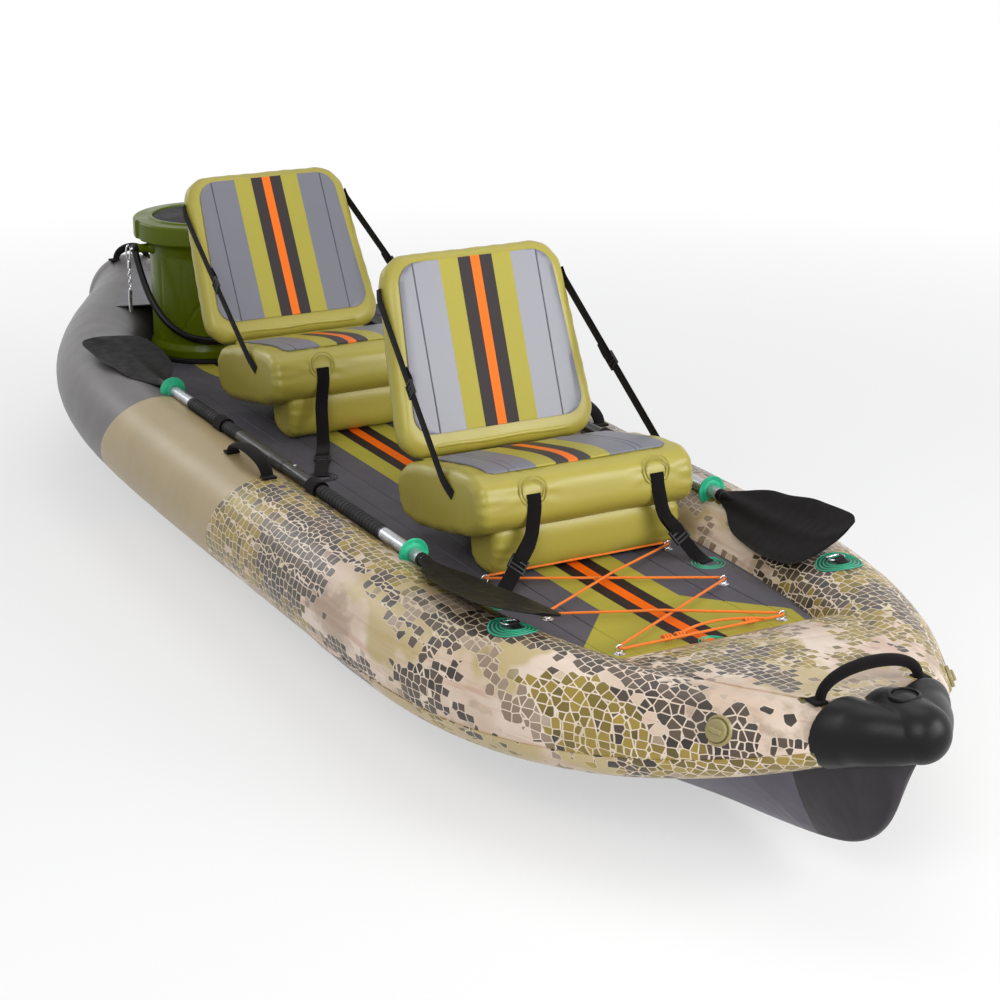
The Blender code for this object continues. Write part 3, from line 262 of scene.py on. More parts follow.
def material(name, colour, rough, metal=0.0, coat=0.0, coat_rough=0.2, sheen=0.0, vary=0.1, spots=4.0,
             grain=900.0, bump=0.2, depth=0.0003, weave=0.0, wrinkle=0.0, folds=9.0, wear=0.0,
             rough_vary=0.08, spec=0.5, shine=None):
    """A procedural material. The colour is a plain one or a function that builds it from the coordinates."""
    made = bpy.data.materials.new(name)
    made.use_nodes = True
    tree = made.node_tree
    shader = tree.nodes["Principled BSDF"]
    coords = node(tree, "TexCoord").outputs["Object"]
    base = colour(coords) if callable(colour) else colour
    base = shaded(base, rescale(noise_at(coords, spots, 4.0), 0.3, 0.7, 1 - vary, 1 + vary))
    height = times(noise_at(coords, grain, 2.0), bump)
    if weave:
        axes = axes_of(node(tree, "TexCoord").outputs["UV"])
        turn = 2 * pi / weave
        warp = math_node("SINE", times(axes[0], turn))
        weft = math_node("SINE", times(axes[1], turn * 0.5))
        cross = times(warp, weft)
        height = plus(height, times(cross, 0.9))
        # The weave's colour follows its relief: painted shade on the low threads and a painted highlight on
        # the raised ones.
        base = shaded(base, rescale(cross, -1.0, 1.0, 0.72, 1.15))
    if wear:
        edge = step(node(tree, "NewGeometry").outputs["Pointiness"], 0.56, 0.08)
        scuff = step(noise_at(coords, 60.0, 5.0, 0.7), 0.52, 0.1)
        base = mix(times(times(edge, scuff), wear), base, rgb(150, 150, 150))
    normal = bumped(depth, height)
    if wrinkle:
        ripple = noise_at(moved(coords, (0.0, 0.0, 0.0), (1.0, 2.6, 1.0)), folds, 3.0, 0.45)
        normal = bumped(wrinkle, ripple, Normal=normal)
    uneven = noise_at(coords, spots * 5, 3.0)
    gloss = rescale(uneven, 0.3, 0.7, max(rough - rough_vary, 0.02), rough + rough_vary)
    if shine:
        gloss = times(gloss, shine(coords))
    tree.links.new(base, shader.inputs["Base Color"])
    tree.links.new(normal, shader.inputs["Normal"])
    tree.links.new(gloss, shader.inputs["Roughness"])
    shader.inputs["Metallic"].default_value = metal
    shader.inputs["Coat Weight"].default_value = coat
    shader.inputs["Coat Roughness"].default_value = coat_rough
    shader.inputs["Sheen Weight"].default_value = sheen
    shader.inputs["Specular IOR Level"].default_value = spec
    return made


def bands(value, colours, start):
    """Colours in bands of a value: each entry is where its colour begins."""
    colour = start
    for edge, one in colours:
        colour = mix(step(value, edge, 0.0006), colour, one)
    return colour


def stripes(edges, outer, centre=ORANGE):
    """Orange centre, black, green and then the outer colour, by distance from the centre-line."""

    def build(coords):
        x = distance(axes_of(coords)[0])
        colour = bands(x, [(edges[0], DARK), (edges[1], GREEN), (edges[2], outer)], centre)
        for seam in edges[3:]:
            colour = mix(step(distance(x, seam), 0.0011, 0.0008), rgb(60, 58, 64), colour)
        return colour

    return build


SEAT_STRIPES = stripes((0.0103, 0.039, 0.082, SEAM_X), PAD_GREY, PAD_ORANGE)
DECK_EDGES = (0.0125, 0.040, 0.086)
DECK_STRIPES = stripes((*DECK_EDGES, SEAM_X, OUTER_SEAM_X), DECK_GREY)
CUT_Y = -1.004


def silver_bands(coords):
    """A lower roughness on the grey bands of a backrest pad than on its stripes."""
    return rescale(distance(axes_of(coords)[0]), 0.0815, 0.0825, 1.0, 0.42)


def deck_colour(coords):
    """The deck's stripes; forward of a slanted cut the grey gives way to green."""
    axes = axes_of(coords)
    x = distance(axes[0])
    main = DECK_STRIPES(coords)
    cut = plus(axes[1], times(math_node("SUBTRACT", x, DECK_EDGES[2]), 1.2))
    front = bands(x, [(DECK_EDGES[0], DARK), (DECK_EDGES[1], GREEN)], ORANGE)
    return mix(step(cut, CUT_Y, 0.0012), front, main)


def camouflage(coords):
    """Pebble camouflage: patches of irregular brown and mustard cells on a mottled cream ground."""
    here = (0.0, 0.0, 0.0)
    stretch = (1.0, 0.62, 1.0)
    settings = {"Vector": moved(coords, here, (1.0, 0.82, 1.0)), "Scale": 60.0, "Randomness": 0.42}
    cells = linked("TexVoronoi", settings, feature="F1")
    edges = linked("TexVoronoi", settings, feature="DISTANCE_TO_EDGE").outputs["Distance"]
    centre = cells.outputs["Position"]
    chance = linked("SeparateColor", {0: cells.outputs["Color"]}).outputs
    ground = noise_at(moved(coords, here, stretch), 4.5, 4.0, 0.6)
    colour = mix(step(ground, 0.50, 0.22), CREAM, rgb(206, 182, 160))
    for shift, size, scale, detail, rough, edge, soft, share, paint in (
            (here, (3.0, 1.0, 20.0), 2.4, 3.0, 0.6, 0.60, 0.10, 0.40, rgb(176, 112, 84)),
            ((0.7, 5.0, 2.0), stretch, 4.2, 4.0, 0.55, 0.545, 0.05, 0.75, rgb(182, 162, 98)),
            ((4.7, 1.0, 3.0), stretch, 5.0, 5.0, 0.6, 0.575, 0.05, 0.60, rgb(150, 128, 104))):
        stain = step(noise_at(moved(coords, shift, size), scale, detail, rough), edge, soft)
        colour = mix(times(stain, share), colour, paint)
    inside = step(edges, 0.055, 0.03)
    brown = mix(chance[0], rgb(44, 36, 32), rgb(92, 76, 62))
    gold = mix(chance[1], rgb(92, 80, 30), rgb(164, 140, 58))
    pale = mix(chance[2], rgb(170, 152, 132), rgb(140, 118, 100))
    jitter = times(chance[2], 0.07)
    rim = mix(0.45, colour, rgb(236, 222, 206))
    for shift, scale, detail, rough, edge, paint in (
            ((8.1, 2.7, 1.4), 5.5, 3.0, 0.6, 0.565, pale),
            ((3.1, 1.7, 0.4), 4.0, 2.0, 0.6, 0.555, gold),
            ((0.3, 0.2, 0.0), 4.6, 3.0, 0.62, 0.555, brown)):
        zone = noise_at(moved(centre, shift, stretch), scale, detail, rough)
        share = step(plus(zone, jitter), edge, 0.004)
        colour = mix(share, colour, mix(inside, rim, paint))
    return colour


def strip_colour(coords):
    """The same camouflage from another part of the cloth."""
    return camouflage(moved(coords, (0.4, 0.9, 0.3)))


def guard_colour(coords):
    """Dark guard forward of a slanted edge, and the keel's grey behind it."""
    axes = axes_of(coords)
    edge = plus(axes[1], times(axes[2], GUARD_SLANT))
    return mix(step(edge, GUARD_EDGE, 0.001), rgb(42, 38, 42), rgb(84, 80, 92))


def floor_colour(coords):
    """The floor's grey, darker and bluer on the keel under it."""
    return mix(step(axes_of(coords)[2], 0.225, 0.02), rgb(66, 60, 79), DECK_GREY)


def tube_colour(coords):
    """Camouflage forward, then tan, then dark grey, with the joins leaning aft towards the keel."""
    axes = axes_of(coords)
    drop = math_node("SUBTRACT", axes[2], JOIN_Z)
    colour = camouflage(coords)
    for y, lean, paint in JOINS:
        colour = mix(step(plus(axes[1], times(drop, lean)), y, 0.001), colour, paint)
    return colour


def teal_rings(coords):
    return mix(step(noise_at(coords, 25.0), 0.5, 0.3), rgb(26, 160, 118), rgb(54, 190, 146))


PVC = dict(rough=0.42, coat=0.22, coat_rough=0.28, vary=0.06, grain=1500.0, bump=0.12, depth=0.0002,
           spec=0.35, rough_vary=0.04)
FOAM = dict(grain=1400.0, depth=0.0002, spec=0.4, rough_vary=0.0)
MATS = {
    "tube": material("tube_fabric", tube_colour, wrinkle=0.0014, folds=6.0, **PVC),
    "cover": material("cover_fabric", camouflage, wrinkle=0.003, folds=7.0, **PVC),
    "strip": material("strip_fabric", strip_colour, wrinkle=0.0014, folds=6.0, **PVC),
    "olive": material("olive_fabric", OLIVE, wrinkle=0.003, folds=8.0, **PVC),
    "floor": material("floor_fabric", floor_colour, wrinkle=0.002, **PVC),
    "seat_foam": material("seat_foam", SEAT_STRIPES, 0.5, vary=0.03, bump=0.2, **FOAM),
    "back_foam": material("seat_foam", SEAT_STRIPES, 0.66, vary=0.02, bump=0.08, shine=silver_bands, **FOAM),
    "deck_foam": material("deck_foam", deck_colour, 0.62, vary=0.07, grain=1200.0, bump=0.45, spec=0.15),
    "black": material("moulded_black", rgb(17, 16, 18), 0.36, vary=0.15, grain=1800.0, bump=0.2, wear=0.05,
                      spec=0.2),
    "guard": material("keel_guard", guard_colour, 0.42, spec=0.25, vary=0.10, grain=1500.0, bump=0.12,
                      depth=0.0002, wrinkle=0.0015, folds=12.0),
    "web": material("webbing", rgb(23, 20, 21), 0.78, sheen=0.05, vary=0.12, weave=0.0032, depth=0.0004,
                    spec=0.05),
    "buckle": material("buckle_plastic", rgb(22, 21, 24), 0.38, vary=0.12, grain=1600.0, wear=0.12,
                       spec=0.25),
    "cord": material("bungee", rgb(244, 122, 10), 0.6, sheen=0.1, vary=0.08, weave=0.0022, depth=0.0003),
    "steel": material("steel", rgb(196, 198, 202), 0.24, metal=1.0, vary=0.08, spots=30.0, grain=700.0,
                      bump=0.2),
    "cooler": material("cooler_green", COOLER, 0.32, vary=0.08, grain=1300.0, bump=0.15, wear=0.04,
                       spec=0.18),
    "rubber": material("rubber", rgb(27, 26, 28), 0.60, vary=0.15, grain=700.0, bump=0.5, wear=0.06,
                       spec=0.15),
    "blade": material("blade_plastic", rgb(18, 15, 16), 0.46, vary=0.18, spots=9.0, grain=1600.0, bump=0.2,
                      wear=0.05, spec=0.07),
    "shaft": material("shaft_carbon", rgb(20, 18, 20), 0.32, spec=0.3, vary=0.15, grain=1200.0, bump=0.05),
    "silver": material("shaft_silver", rgb(176, 178, 184), 0.28, metal=0.6, vary=0.12, spots=25.0,
                       bump=0.05),
    "teal": material("teal_rubber", teal_rings, 0.45, spec=0.3, vary=0.05, grain=900.0, bump=0.35),
    "patch": material("patch_rubber", rgb(58, 84, 78), 0.5, vary=0.1, grain=900.0, bump=0.3),
    "valve": material("valve_plastic", rgb(150, 138, 92), 0.4, vary=0.1, grain=1200.0, wear=0.2),
}


# Mesh building


def cosd(angle):
    return cos(radians(angle))


def sind(angle):
    return sin(radians(angle))


def around(count):
    """The angles of one turn in even steps."""
    return [2 * pi * k / count for k in range(count)]


def spread(start, end, count):
    return [start + (end - start) * i / count for i in range(count + 1)]


def move(x, y, z):
    return Matrix.Translation((x, y, z))


def tilt(angle, axis):
    return Matrix.Rotation(radians(angle), 4, axis)


def facing(origin, normal, along=(0, 1, 0)):
    """A place whose Z is the normal and whose Y lies along a direction."""
    z = Vector(normal).normalized()
    y = (Vector(along) - z * z.dot(Vector(along))).normalized()
    x = y.cross(z)
    return Matrix.Translation(Vector(origin)) @ Matrix((x, y, z)).transposed().to_4x4()


def wrinkle(point, scale, amount, seed=0.0):
    return amount * noise.noise(Vector((point.x * scale + seed, point.y * scale, point.z * scale)))


def piece(name, data, mat, body="hull", sharp=38, stands_for=()):
    """A finished mesh object riding on a body, in place of the CAD nodes that it stands for."""
    verts, faces, uvs = data
    mesh = bpy.data.meshes.new(name)
    mesh.from_pydata([tuple(v) for v in verts], [], faces)
    if uvs:
        layer = mesh.uv_layers.new(name="UV")
        for i, uv in enumerate(uvs):
            layer.data[i].uv = uv
    bm = bmesh.new()
    bm.from_mesh(mesh)
    bmesh.ops.remove_doubles(bm, verts=bm.verts, dist=0.000005)
    bmesh.ops.recalc_face_normals(bm, faces=bm.faces)
    bm.to_mesh(mesh)
    bm.free()
    mesh.materials.append(MATS[mat])
    for face in mesh.polygons:
        face.use_smooth = True
    mesh.set_sharp_from_angle(angle=radians(sharp))
    obj = bpy.data.objects.new(name, mesh)
    bpy.context.scene.collection.objects.link(obj)
    if body:
        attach(obj, body)
    if stands_for:
        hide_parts(*stands_for)
    return obj


def skin_data(rings, caps=True, closed=False):
    """Vertices, faces and UVs in metres of a surface through rings of points."""
    count = len(rings[0])
    total = len(rings)
    spans = total if closed else total - 1
    verts = [v for ring in rings for v in ring]
    centres = [sum(ring, Vector()) / count for ring in rings]
    far = [0.0]
    for i in range(spans):
        far.append(far[-1] + (centres[(i + 1) % total] - centres[i]).length)
    widest = rings[total // 2]
    near = [0.0]
    for j in range(count):
        near.append(near[-1] + (widest[(j + 1) % count] - widest[j]).length)
    faces = []
    uvs = []
    for i in range(spans):
        a = i * count
        b = (i + 1) % total * count
        for j in range(count):
            k = (j + 1) % count
            faces.append((a + j, a + k, b + k, b + j))
            u0, u1, v0, v1 = near[j], near[j + 1], far[i], far[i + 1]
            uvs += [(u0, v0), (u1, v0), (u1, v1), (u0, v1)]
    if caps and not closed:
        faces.append(tuple(reversed(range(count))))
        faces.append(tuple(range(len(verts) - count, len(verts))))
        uvs += [(0.0, 0.0)] * (2 * count)
    return verts, faces, uvs


def skin(name, rings, mat, caps=True, closed=False, **kw):
    return piece(name, skin_data(rings, caps, closed), mat, **kw)


def curve(points, steps):
    """A smooth line through points."""
    points = [Vector(p) for p in points]
    count = len(points)
    line = []
    for i in range(count - 1):
        b, c = points[i], points[i + 1]
        a = points[i - 1] if i else b + (b - c)
        d = points[i + 2] if i + 2 < count else c + (c - b)
        for k in range(steps):
            t = k / steps
            line.append(0.5 * (2 * b + (c - a) * t + (2 * a - 5 * b + 4 * c - d) * t * t
                               + (3 * b - a - 3 * c + d) * t ** 3))
    return line + [points[-1]]


def soften(points, radius, steps=3, closed=False):
    """The same line with each corner rounded off."""
    points = [Vector(p) for p in points]
    count = len(points)
    line = []
    for i, here in enumerate(points):
        if not closed and i in (0, count - 1):
            line.append(here)
            continue
        one = points[i - 1] - here
        two = points[(i + 1) % count] - here
        cut = min(radius, one.length * 0.45, two.length * 0.45)
        p = here + one.normalized() * cut
        q = here + two.normalized() * cut
        for k in range(steps + 1):
            t = k / steps
            line.append(p.lerp(here, t).lerp(here.lerp(q, t), t))
    return line


def dense(points, gap, closed=False):
    """The same line with points added, about a gap apart."""
    line = []
    for i, a in enumerate(points if closed else points[:-1]):
        b = points[(i + 1) % len(points)]
        parts = max(1, int((b - a).length / gap))
        line += [a.lerp(b, k / parts) for k in range(parts)]
    return line if closed else line + [points[-1]]


def rod_rings(points, size, sides=16, closed=False, flat=1.0, up=None):
    """Rings along a line, turned as little as can be; the size is one radius or one for each point."""
    count = len(points)
    rings = []
    across = None
    for i, point in enumerate(points):
        before = points[i - 1] if closed or i else point
        after = points[(i + 1) % count] if closed or i < count - 1 else point
        along = (after - before).normalized()
        if across is None:
            across = Vector(up) if up else Vector((0, 0, 1)) if abs(along.z) < 0.9 else Vector((1, 0, 0))
        across = (across - along * along.dot(across)).normalized()
        other = along.cross(across)
        radius = size[i] if isinstance(size, list) else size
        rings.append([point + across * radius * flat * cos(t) + other * radius * sin(t)
                      for t in around(sides)])
    return rings


def rod(name, points, size, mat, sides=16, closed=False, flat=1.0, up=None, **kw):
    return skin(name, rod_rings(points, size, sides, closed, flat, up), mat, closed=closed, **kw)


def ridges(name, radii, wire, count, spot, mat):
    """Raised rings on a surface; spot gives the point for two offsets from the centre."""
    parts = []
    for r in radii:
        line = [spot(r * cos(t), r * sin(t)) for t in around(count)]
        parts.append(skin_data(rod_rings(line, wire, 8, True), closed=True))
    piece(name, join(*parts), mat)


def turned(name, profile, place, mat, sides=72, shape=None, bevel=0.0, closed=False, **kw):
    """A lathed piece; a profile that starts and ends on the axis is closed."""
    if bevel:
        profile = [(p.x, p.y) for p in soften([Vector((r, z, 0)) for r, z in profile], bevel, 3, closed)]
    rings = []
    for r, z in profile:
        ring = []
        for t in around(sides):
            size = shape(t, r, z) if shape else r
            ring.append(place @ Vector((size * cos(t), size * sin(t), z)))
        rings.append(ring)
    return skin(name, rings, mat, caps=False, closed=closed, **kw)


STRAP_SECTION = ((-0.5, -0.25), (-0.46, -0.5), (0, -0.5), (0.46, -0.5), (0.5, -0.25), (0.5, 0.25),
                 (0.46, 0.5), (0, 0.5), (-0.46, 0.5), (-0.5, 0.25))


def strip_rings(points, wide, width, thick):
    """Rings of a flat strap with softened edges; wide is its width direction, one or one for each point."""
    rings = []
    for i, point in enumerate(points):
        along = (points[min(i + 1, len(points) - 1)] - points[max(i - 1, 0)]).normalized()
        across = Vector(wide[i] if isinstance(wide, list) else wide)
        across = (across - along * along.dot(across)).normalized()
        face = along.cross(across)
        rings.append([point + across * a * width + face * b * thick for a, b in STRAP_SECTION])
    return rings


def join(*parts):
    """Several sets of vertices, faces and UVs as one."""
    verts, faces, uvs = [], [], []
    for v, f, u in parts:
        base = len(verts)
        verts += v
        faces += [tuple(i + base for i in face) for face in f]
        uvs += u
    return verts, faces, uvs


def block_data(size, place, bevel):
    """A block with rounded edges."""
    x, y, z = (s / 2 for s in size)
    rings = []
    for side, turns in ((-1, (0, 30, 60, 90)), (1, (90, 60, 30, 0))):
        for t in turns:
            inset = bevel * (1 - sind(t))
            height = side * (z - bevel * (1 - cosd(t)))
            corners = [(1, 1), (-1, 1), (-1, -1), (1, -1)]
            corners = [Vector((sx * (x - inset), sy * (y - inset), 0)) for sx, sy in corners]
            line = soften(corners, bevel * 1.4, 3, True)
            rings.append([place @ Vector((p.x, p.y, height)) for p in line])
    return skin_data(rings)


# Hull


def station(y):
    if y < WIDEST_Y:
        return min((WIDEST_Y - y) / (WIDEST_Y - BOW_Y), 1.0), True
    return min((y - WIDEST_Y) / (STERN_Y - WIDEST_Y), 1.0), False


def half_breadth(y):
    u, bow = station(y)
    if bow:
        return BOW_HALF + (HALF - BOW_HALF) * max(1 - u**BOW_FULLNESS, 0.0) ** BOW_FLARE
    return HALF * max(1 - u**STERN_FULLNESS, 0.0) ** STERN_FLARE


def rise(y):
    u, bow = station(y)
    return BOW_RISE * u**BOW_SWEEP if bow else STERN_RISE * u**STERN_SWEEP


def tube_radius(y):
    u, bow = station(y)
    return TUBE_R + ((BOW_R - TUBE_R) * u**BOW_TAPER if bow else (STERN_R - TUBE_R) * u**6)


def deck_z(y):
    if y < WIDEST_Y:
        return DECK_Z + rise(y)
    t = min(max((y - DECK_LEVEL_Y + DECK_RAMP) / DECK_RAMP, 0.0), 1.0)
    return DECK_Z - STERN_DECK_DROP * t * t * (3 - 2 * t)


def deck_half(y):
    return half_breadth(y) - sqrt(tube_radius(y) ** 2 - (deck_z(y) - TUBE_Z - rise(y)) ** 2)


def tube_axis(side, y):
    return Vector((side * half_breadth(y), y, TUBE_Z + rise(y)))


def on_tube(side, y, angle, lift=0.0):
    """A point on a side tube and its normal; the angle is 0 outboard, 90 on top and 180 inboard."""
    along = (tube_axis(side, y + 0.002) - tube_axis(side, y - 0.002)).normalized()
    out = Vector((side, 0, 0))
    out = (out - along * along.dot(out)).normalized()
    up = along.cross(out)
    if up.z < 0:
        up = -up
    normal = out * cosd(angle) + up * sind(angle)
    return tube_axis(side, y) + normal * (tube_radius(y) + lift), normal


def side_tube(name, side):
    """A tube with domed ends, cut at the centre plane where the two meet at the stern."""
    points = []
    radii = []
    tip = tube_axis(side, BOW_Y)
    along = (tip - tube_axis(side, BOW_Y + 0.024)).normalized()
    for t in range(86, 9, -6):
        points.append(tip + along * BOW_R * sind(t))
        radii.append(BOW_R * cosd(t))
    for turn in spread(0, pi, 170):
        end = BOW_Y if turn < pi / 2 else STERN_Y
        y = WIDEST_Y + (end - WIDEST_Y) * abs(cos(turn))
        points.append(tube_axis(side, y))
        radii.append(tube_radius(y))
    for t in range(8, 87, 6):
        points.append(Vector((0, STERN_Y + STERN_R * sind(t), TUBE_Z + STERN_RISE)))
        radii.append(STERN_R * cosd(t))
    rings = rod_rings(points, radii, 80)
    for ring, centre in zip(rings, points):
        for k, p in enumerate(ring):
            low = max(0.0, -(p.z - centre.z) / TUBE_R)
            swell = wrinkle(p, 16, 0.0009, side) - low * abs(wrinkle(p, 30, 0.0012))
            ring[k] = p + (p - centre).normalized() * swell
    obj = skin(name, rings, "tube", stands_for=[name.replace("_air_tube", "_tube")])
    bm = bmesh.new()
    bm.from_mesh(obj.data)
    cut = bmesh.ops.bisect_plane(bm, geom=bm.verts[:] + bm.edges[:] + bm.faces[:], dist=0.00001,
                                 plane_co=(side * GAP / 2, 0, 0), plane_no=(-side, 0, 0), clear_outer=True)
    edges = [e for e in cut["geom_cut"] if isinstance(e, bmesh.types.BMEdge)]
    bmesh.ops.holes_fill(bm, edges=edges, sides=0)
    bm.to_mesh(obj.data)
    bm.free()


for side_name, side_sign in SIDES.items():
    side_tube(side_name + "_air_tube", side_sign)


def seam_bands():
    """A strip of cloth low round each tube near the bow, and the tape where the floor meets the tube."""
    for name, side in SIDES.items():
        rings = []
        for y in spread(BOW_Y + 0.001, -0.62, 80):
            angles = spread(-24, -84, 12)
            top = [on_tube(side, y, angle, 0.0019)[0] for angle in angles]
            low = [on_tube(side, y, angle, -0.0012)[0] for angle in angles]
            rings.append(top + low[::-1])
        skin(name + "_low_strip", rings, "strip")
        points = []
        wide = []
        for y in spread(-1.22, 1.24, 90):
            rest = deck_z(y) - PAD_THICK - TUBE_Z - rise(y)
            turn = 181 - degrees(asin(rest / tube_radius(y)))
            here = on_tube(side, y, turn, 0.0006)[0]
            points.append(here)
            wide.append(on_tube(side, y, turn + 2, 0.0006)[0] - here)
        skin(name + "_deck_seam", strip_rings(points, wide, 0.006, 0.0018), "floor")


seam_bands()


def keel_z(y):
    if y < FOREFOOT_Y:
        t = min((FOREFOOT_Y - y) / (FOREFOOT_Y - BOW_Y + 0.066), 1.0)
        return FOREFOOT_TOP * (0.36 * t**1.3 + 0.64 * (1 - sqrt(1 - t**10)))
    t = max(0.0, (y - STERN_KEEL_Y) / (STERN_Y - STERN_KEEL_Y))
    return STERN_KEEL_RISE * t**2


def keel_half(y):
    if y < FOREFOOT_Y:
        return FOREFOOT_HALF
    if y < FOREFOOT_Y + FOREFOOT_FADE:
        t = (FOREFOOT_Y + FOREFOOT_FADE - y) / FOREFOOT_FADE
        return KEEL_HALF + (FOREFOOT_HALF - KEEL_HALF) * t**1.5
    t = max(0.0, (y - STERN_KEEL_Y) / (STERN_Y - STERN_KEEL_Y))
    return KEEL_HALF + (STERN_KEEL_HALF - KEEL_HALF) * t


def floor_ring(y):
    """The floor's section at y: the keel strip, the rolled edges between the tubes and the flat top."""
    axis = TUBE_Z + rise(y)
    radius = tube_radius(y)
    keel = keel_z(y)
    half = keel_half(y)
    fade = min(max((COVER_Y - y) / 0.2, 0.0), 1.0)
    top = deck_z(y) - PAD_THICK - GAP
    top += fade * (axis - 0.3 * radius - top)
    reach = half_breadth(y) - 0.35 * radius
    if y < BOW_Y:
        reach -= (BOW_Y - y) * 0.35
    reach = max(reach, half + 0.002)
    top = max(top, keel + 0.01)
    under = min(max(axis - 0.88 * radius, keel + 0.005), top - 0.004)
    corners = ((-half, keel), (half, keel), (reach, under), (reach, top), (-reach, top), (-reach, under))
    return soften([Vector((x, y, z)) for x, z in corners], 0.012, 3, True)


skin("floor_chamber", [floor_ring(y) for y in spread(GUARD_Y, STERN_Y - 0.03, 150)], "floor",
     stands_for=["floor_board"])
guard_length = GUARD_Y - GAP - GUARD_TIP_Y
skin("keel_guard", [floor_ring(GUARD_TIP_Y + guard_length * (i / 60) ** 1.8) for i in range(61)], "guard",
     stands_for=["forefoot_guard"])


def panel(name, xs, ys, half_at, top_at, seams, depth, thick, mat, place=None, **kw):
    """A thin foam panel over a grid of x and y, cut to a half-width at each y, with seams in its top."""
    place = place or Matrix()
    top = []
    low = []
    for y in ys:
        half = half_at(y)
        upper = []
        lower = []
        for column in xs:
            x = max(-half, min(half, column))
            dip = max([depth * max(0.0, 1 - (abs(abs(x) - s) / (SEAM_W * 1.6)) ** 2) for s in seams] + [0.0])
            edge = min(abs(half - abs(x)) / 0.002, 1.0)
            upper.append(place @ Vector((x, y, top_at(y) - dip - 0.0012 * (1 - edge))))
            lower.append(place @ Vector((x, y, top_at(y) - thick)))
        top.append(upper)
        low.append(lower)
    count = len(xs)
    verts = [v for row in top for v in row] + [v for row in low for v in row]
    base = len(ys) * count
    faces = []
    for i in range(len(ys) - 1):
        for j in range(count - 1):
            a = i * count + j
            faces.append((a, a + 1, a + 1 + count, a + count))
            faces.append((base + a, base + a + count, base + a + 1 + count, base + a + 1))
        for a in (i * count, i * count + count - 1):
            faces.append((a, a + count, base + a + count, base + a))
    for j in range(count - 1):
        for a in (j, (len(ys) - 1) * count + j):
            faces.append((a, a + 1, base + a + 1, base + a))
    kept = [face for face in faces if len({tuple(round(c, 6) for c in verts[i]) for i in face}) > 2]
    return piece(name, (verts, kept, None), mat, **kw)


def columns(half, seams):
    """Positions across a panel: even ones, and close ones at each seam."""
    xs = set(round(x, 5) for x in spread(-half, half, int(2 * half / 0.012)))
    for seam in seams:
        for side in (-1, 1):
            xs |= {round(side * seam + k * SEAM_W, 5) for k in (-1.6, -1, 0, 1, 1.6)}
    return sorted(x for x in xs if abs(x) <= half + 1e-6)


DECK_SEAMS = (SEAM_X, OUTER_SEAM_X)
DECK_YS = spread(COVER_Y + 0.004, STERN_COVER_Y + 0.07, 170)
panel("foam_deck", columns(0.30, DECK_SEAMS), DECK_YS, lambda y: deck_half(y) - PAD_MARGIN, deck_z,
      DECK_SEAMS, 0.0016, PAD_THICK, "deck_foam", stands_for=["deck_pad"])


def cover(name, node_name, start, end, angle_at, sag, mat, creases=()):
    """Fabric stretched between the tubes, from an angle up their inner sides."""
    rings = []
    for t in spread(0.0, 1.0, 60):
        y = start + (end - start) * t
        reach = tube_radius(y) + GAP + 0.0021
        angle = radians(angle_at(t))
        half = half_breadth(y) - reach * cos(angle) + 0.004
        edge_z = TUBE_Z + rise(y) + reach * sin(angle)
        top = []
        low = []
        for c in spread(-1, 1, 40):
            inner = 1 - c * c
            fold = sum(0.0016 * exp(-(((t - mid - lean * c * c) / 0.012) ** 2)) for mid, lean in creases)
            z = edge_z - sag * inner - fold + wrinkle(Vector((c * half, y, 0)), 22, 0.0008) * inner
            top.append(Vector((c * half, y, z + 0.0015)))
            low.append(Vector((c * half, y, z - 0.0015)))
        rings.append(top + low[::-1])
    obj = skin(name, rings, mat, stands_for=[node_name])


cover("bow_fabric", "bow_cover", COVER_Y, BOW_Y - 0.012, lambda t: 27 + 58 * min(t * 1.12, 1.0) ** 0.6, 0.0,
      "cover", ((0.30, 0.10), (0.62, 0.05)))
cover("stern_fabric", "stern_cover", STERN_COVER_Y, STERN_Y - 0.09, lambda t: 72 + 6 * t, 0.008, "floor")


# Nose


def ellipse_rings(sections):
    """Rings across the boat from rows of y, x, z, half-width and half-height."""
    return [[Vector((x + wide * cos(t), y, z + high * sin(t))) for t in around(72)]
            for y, x, z, wide, high in sections]


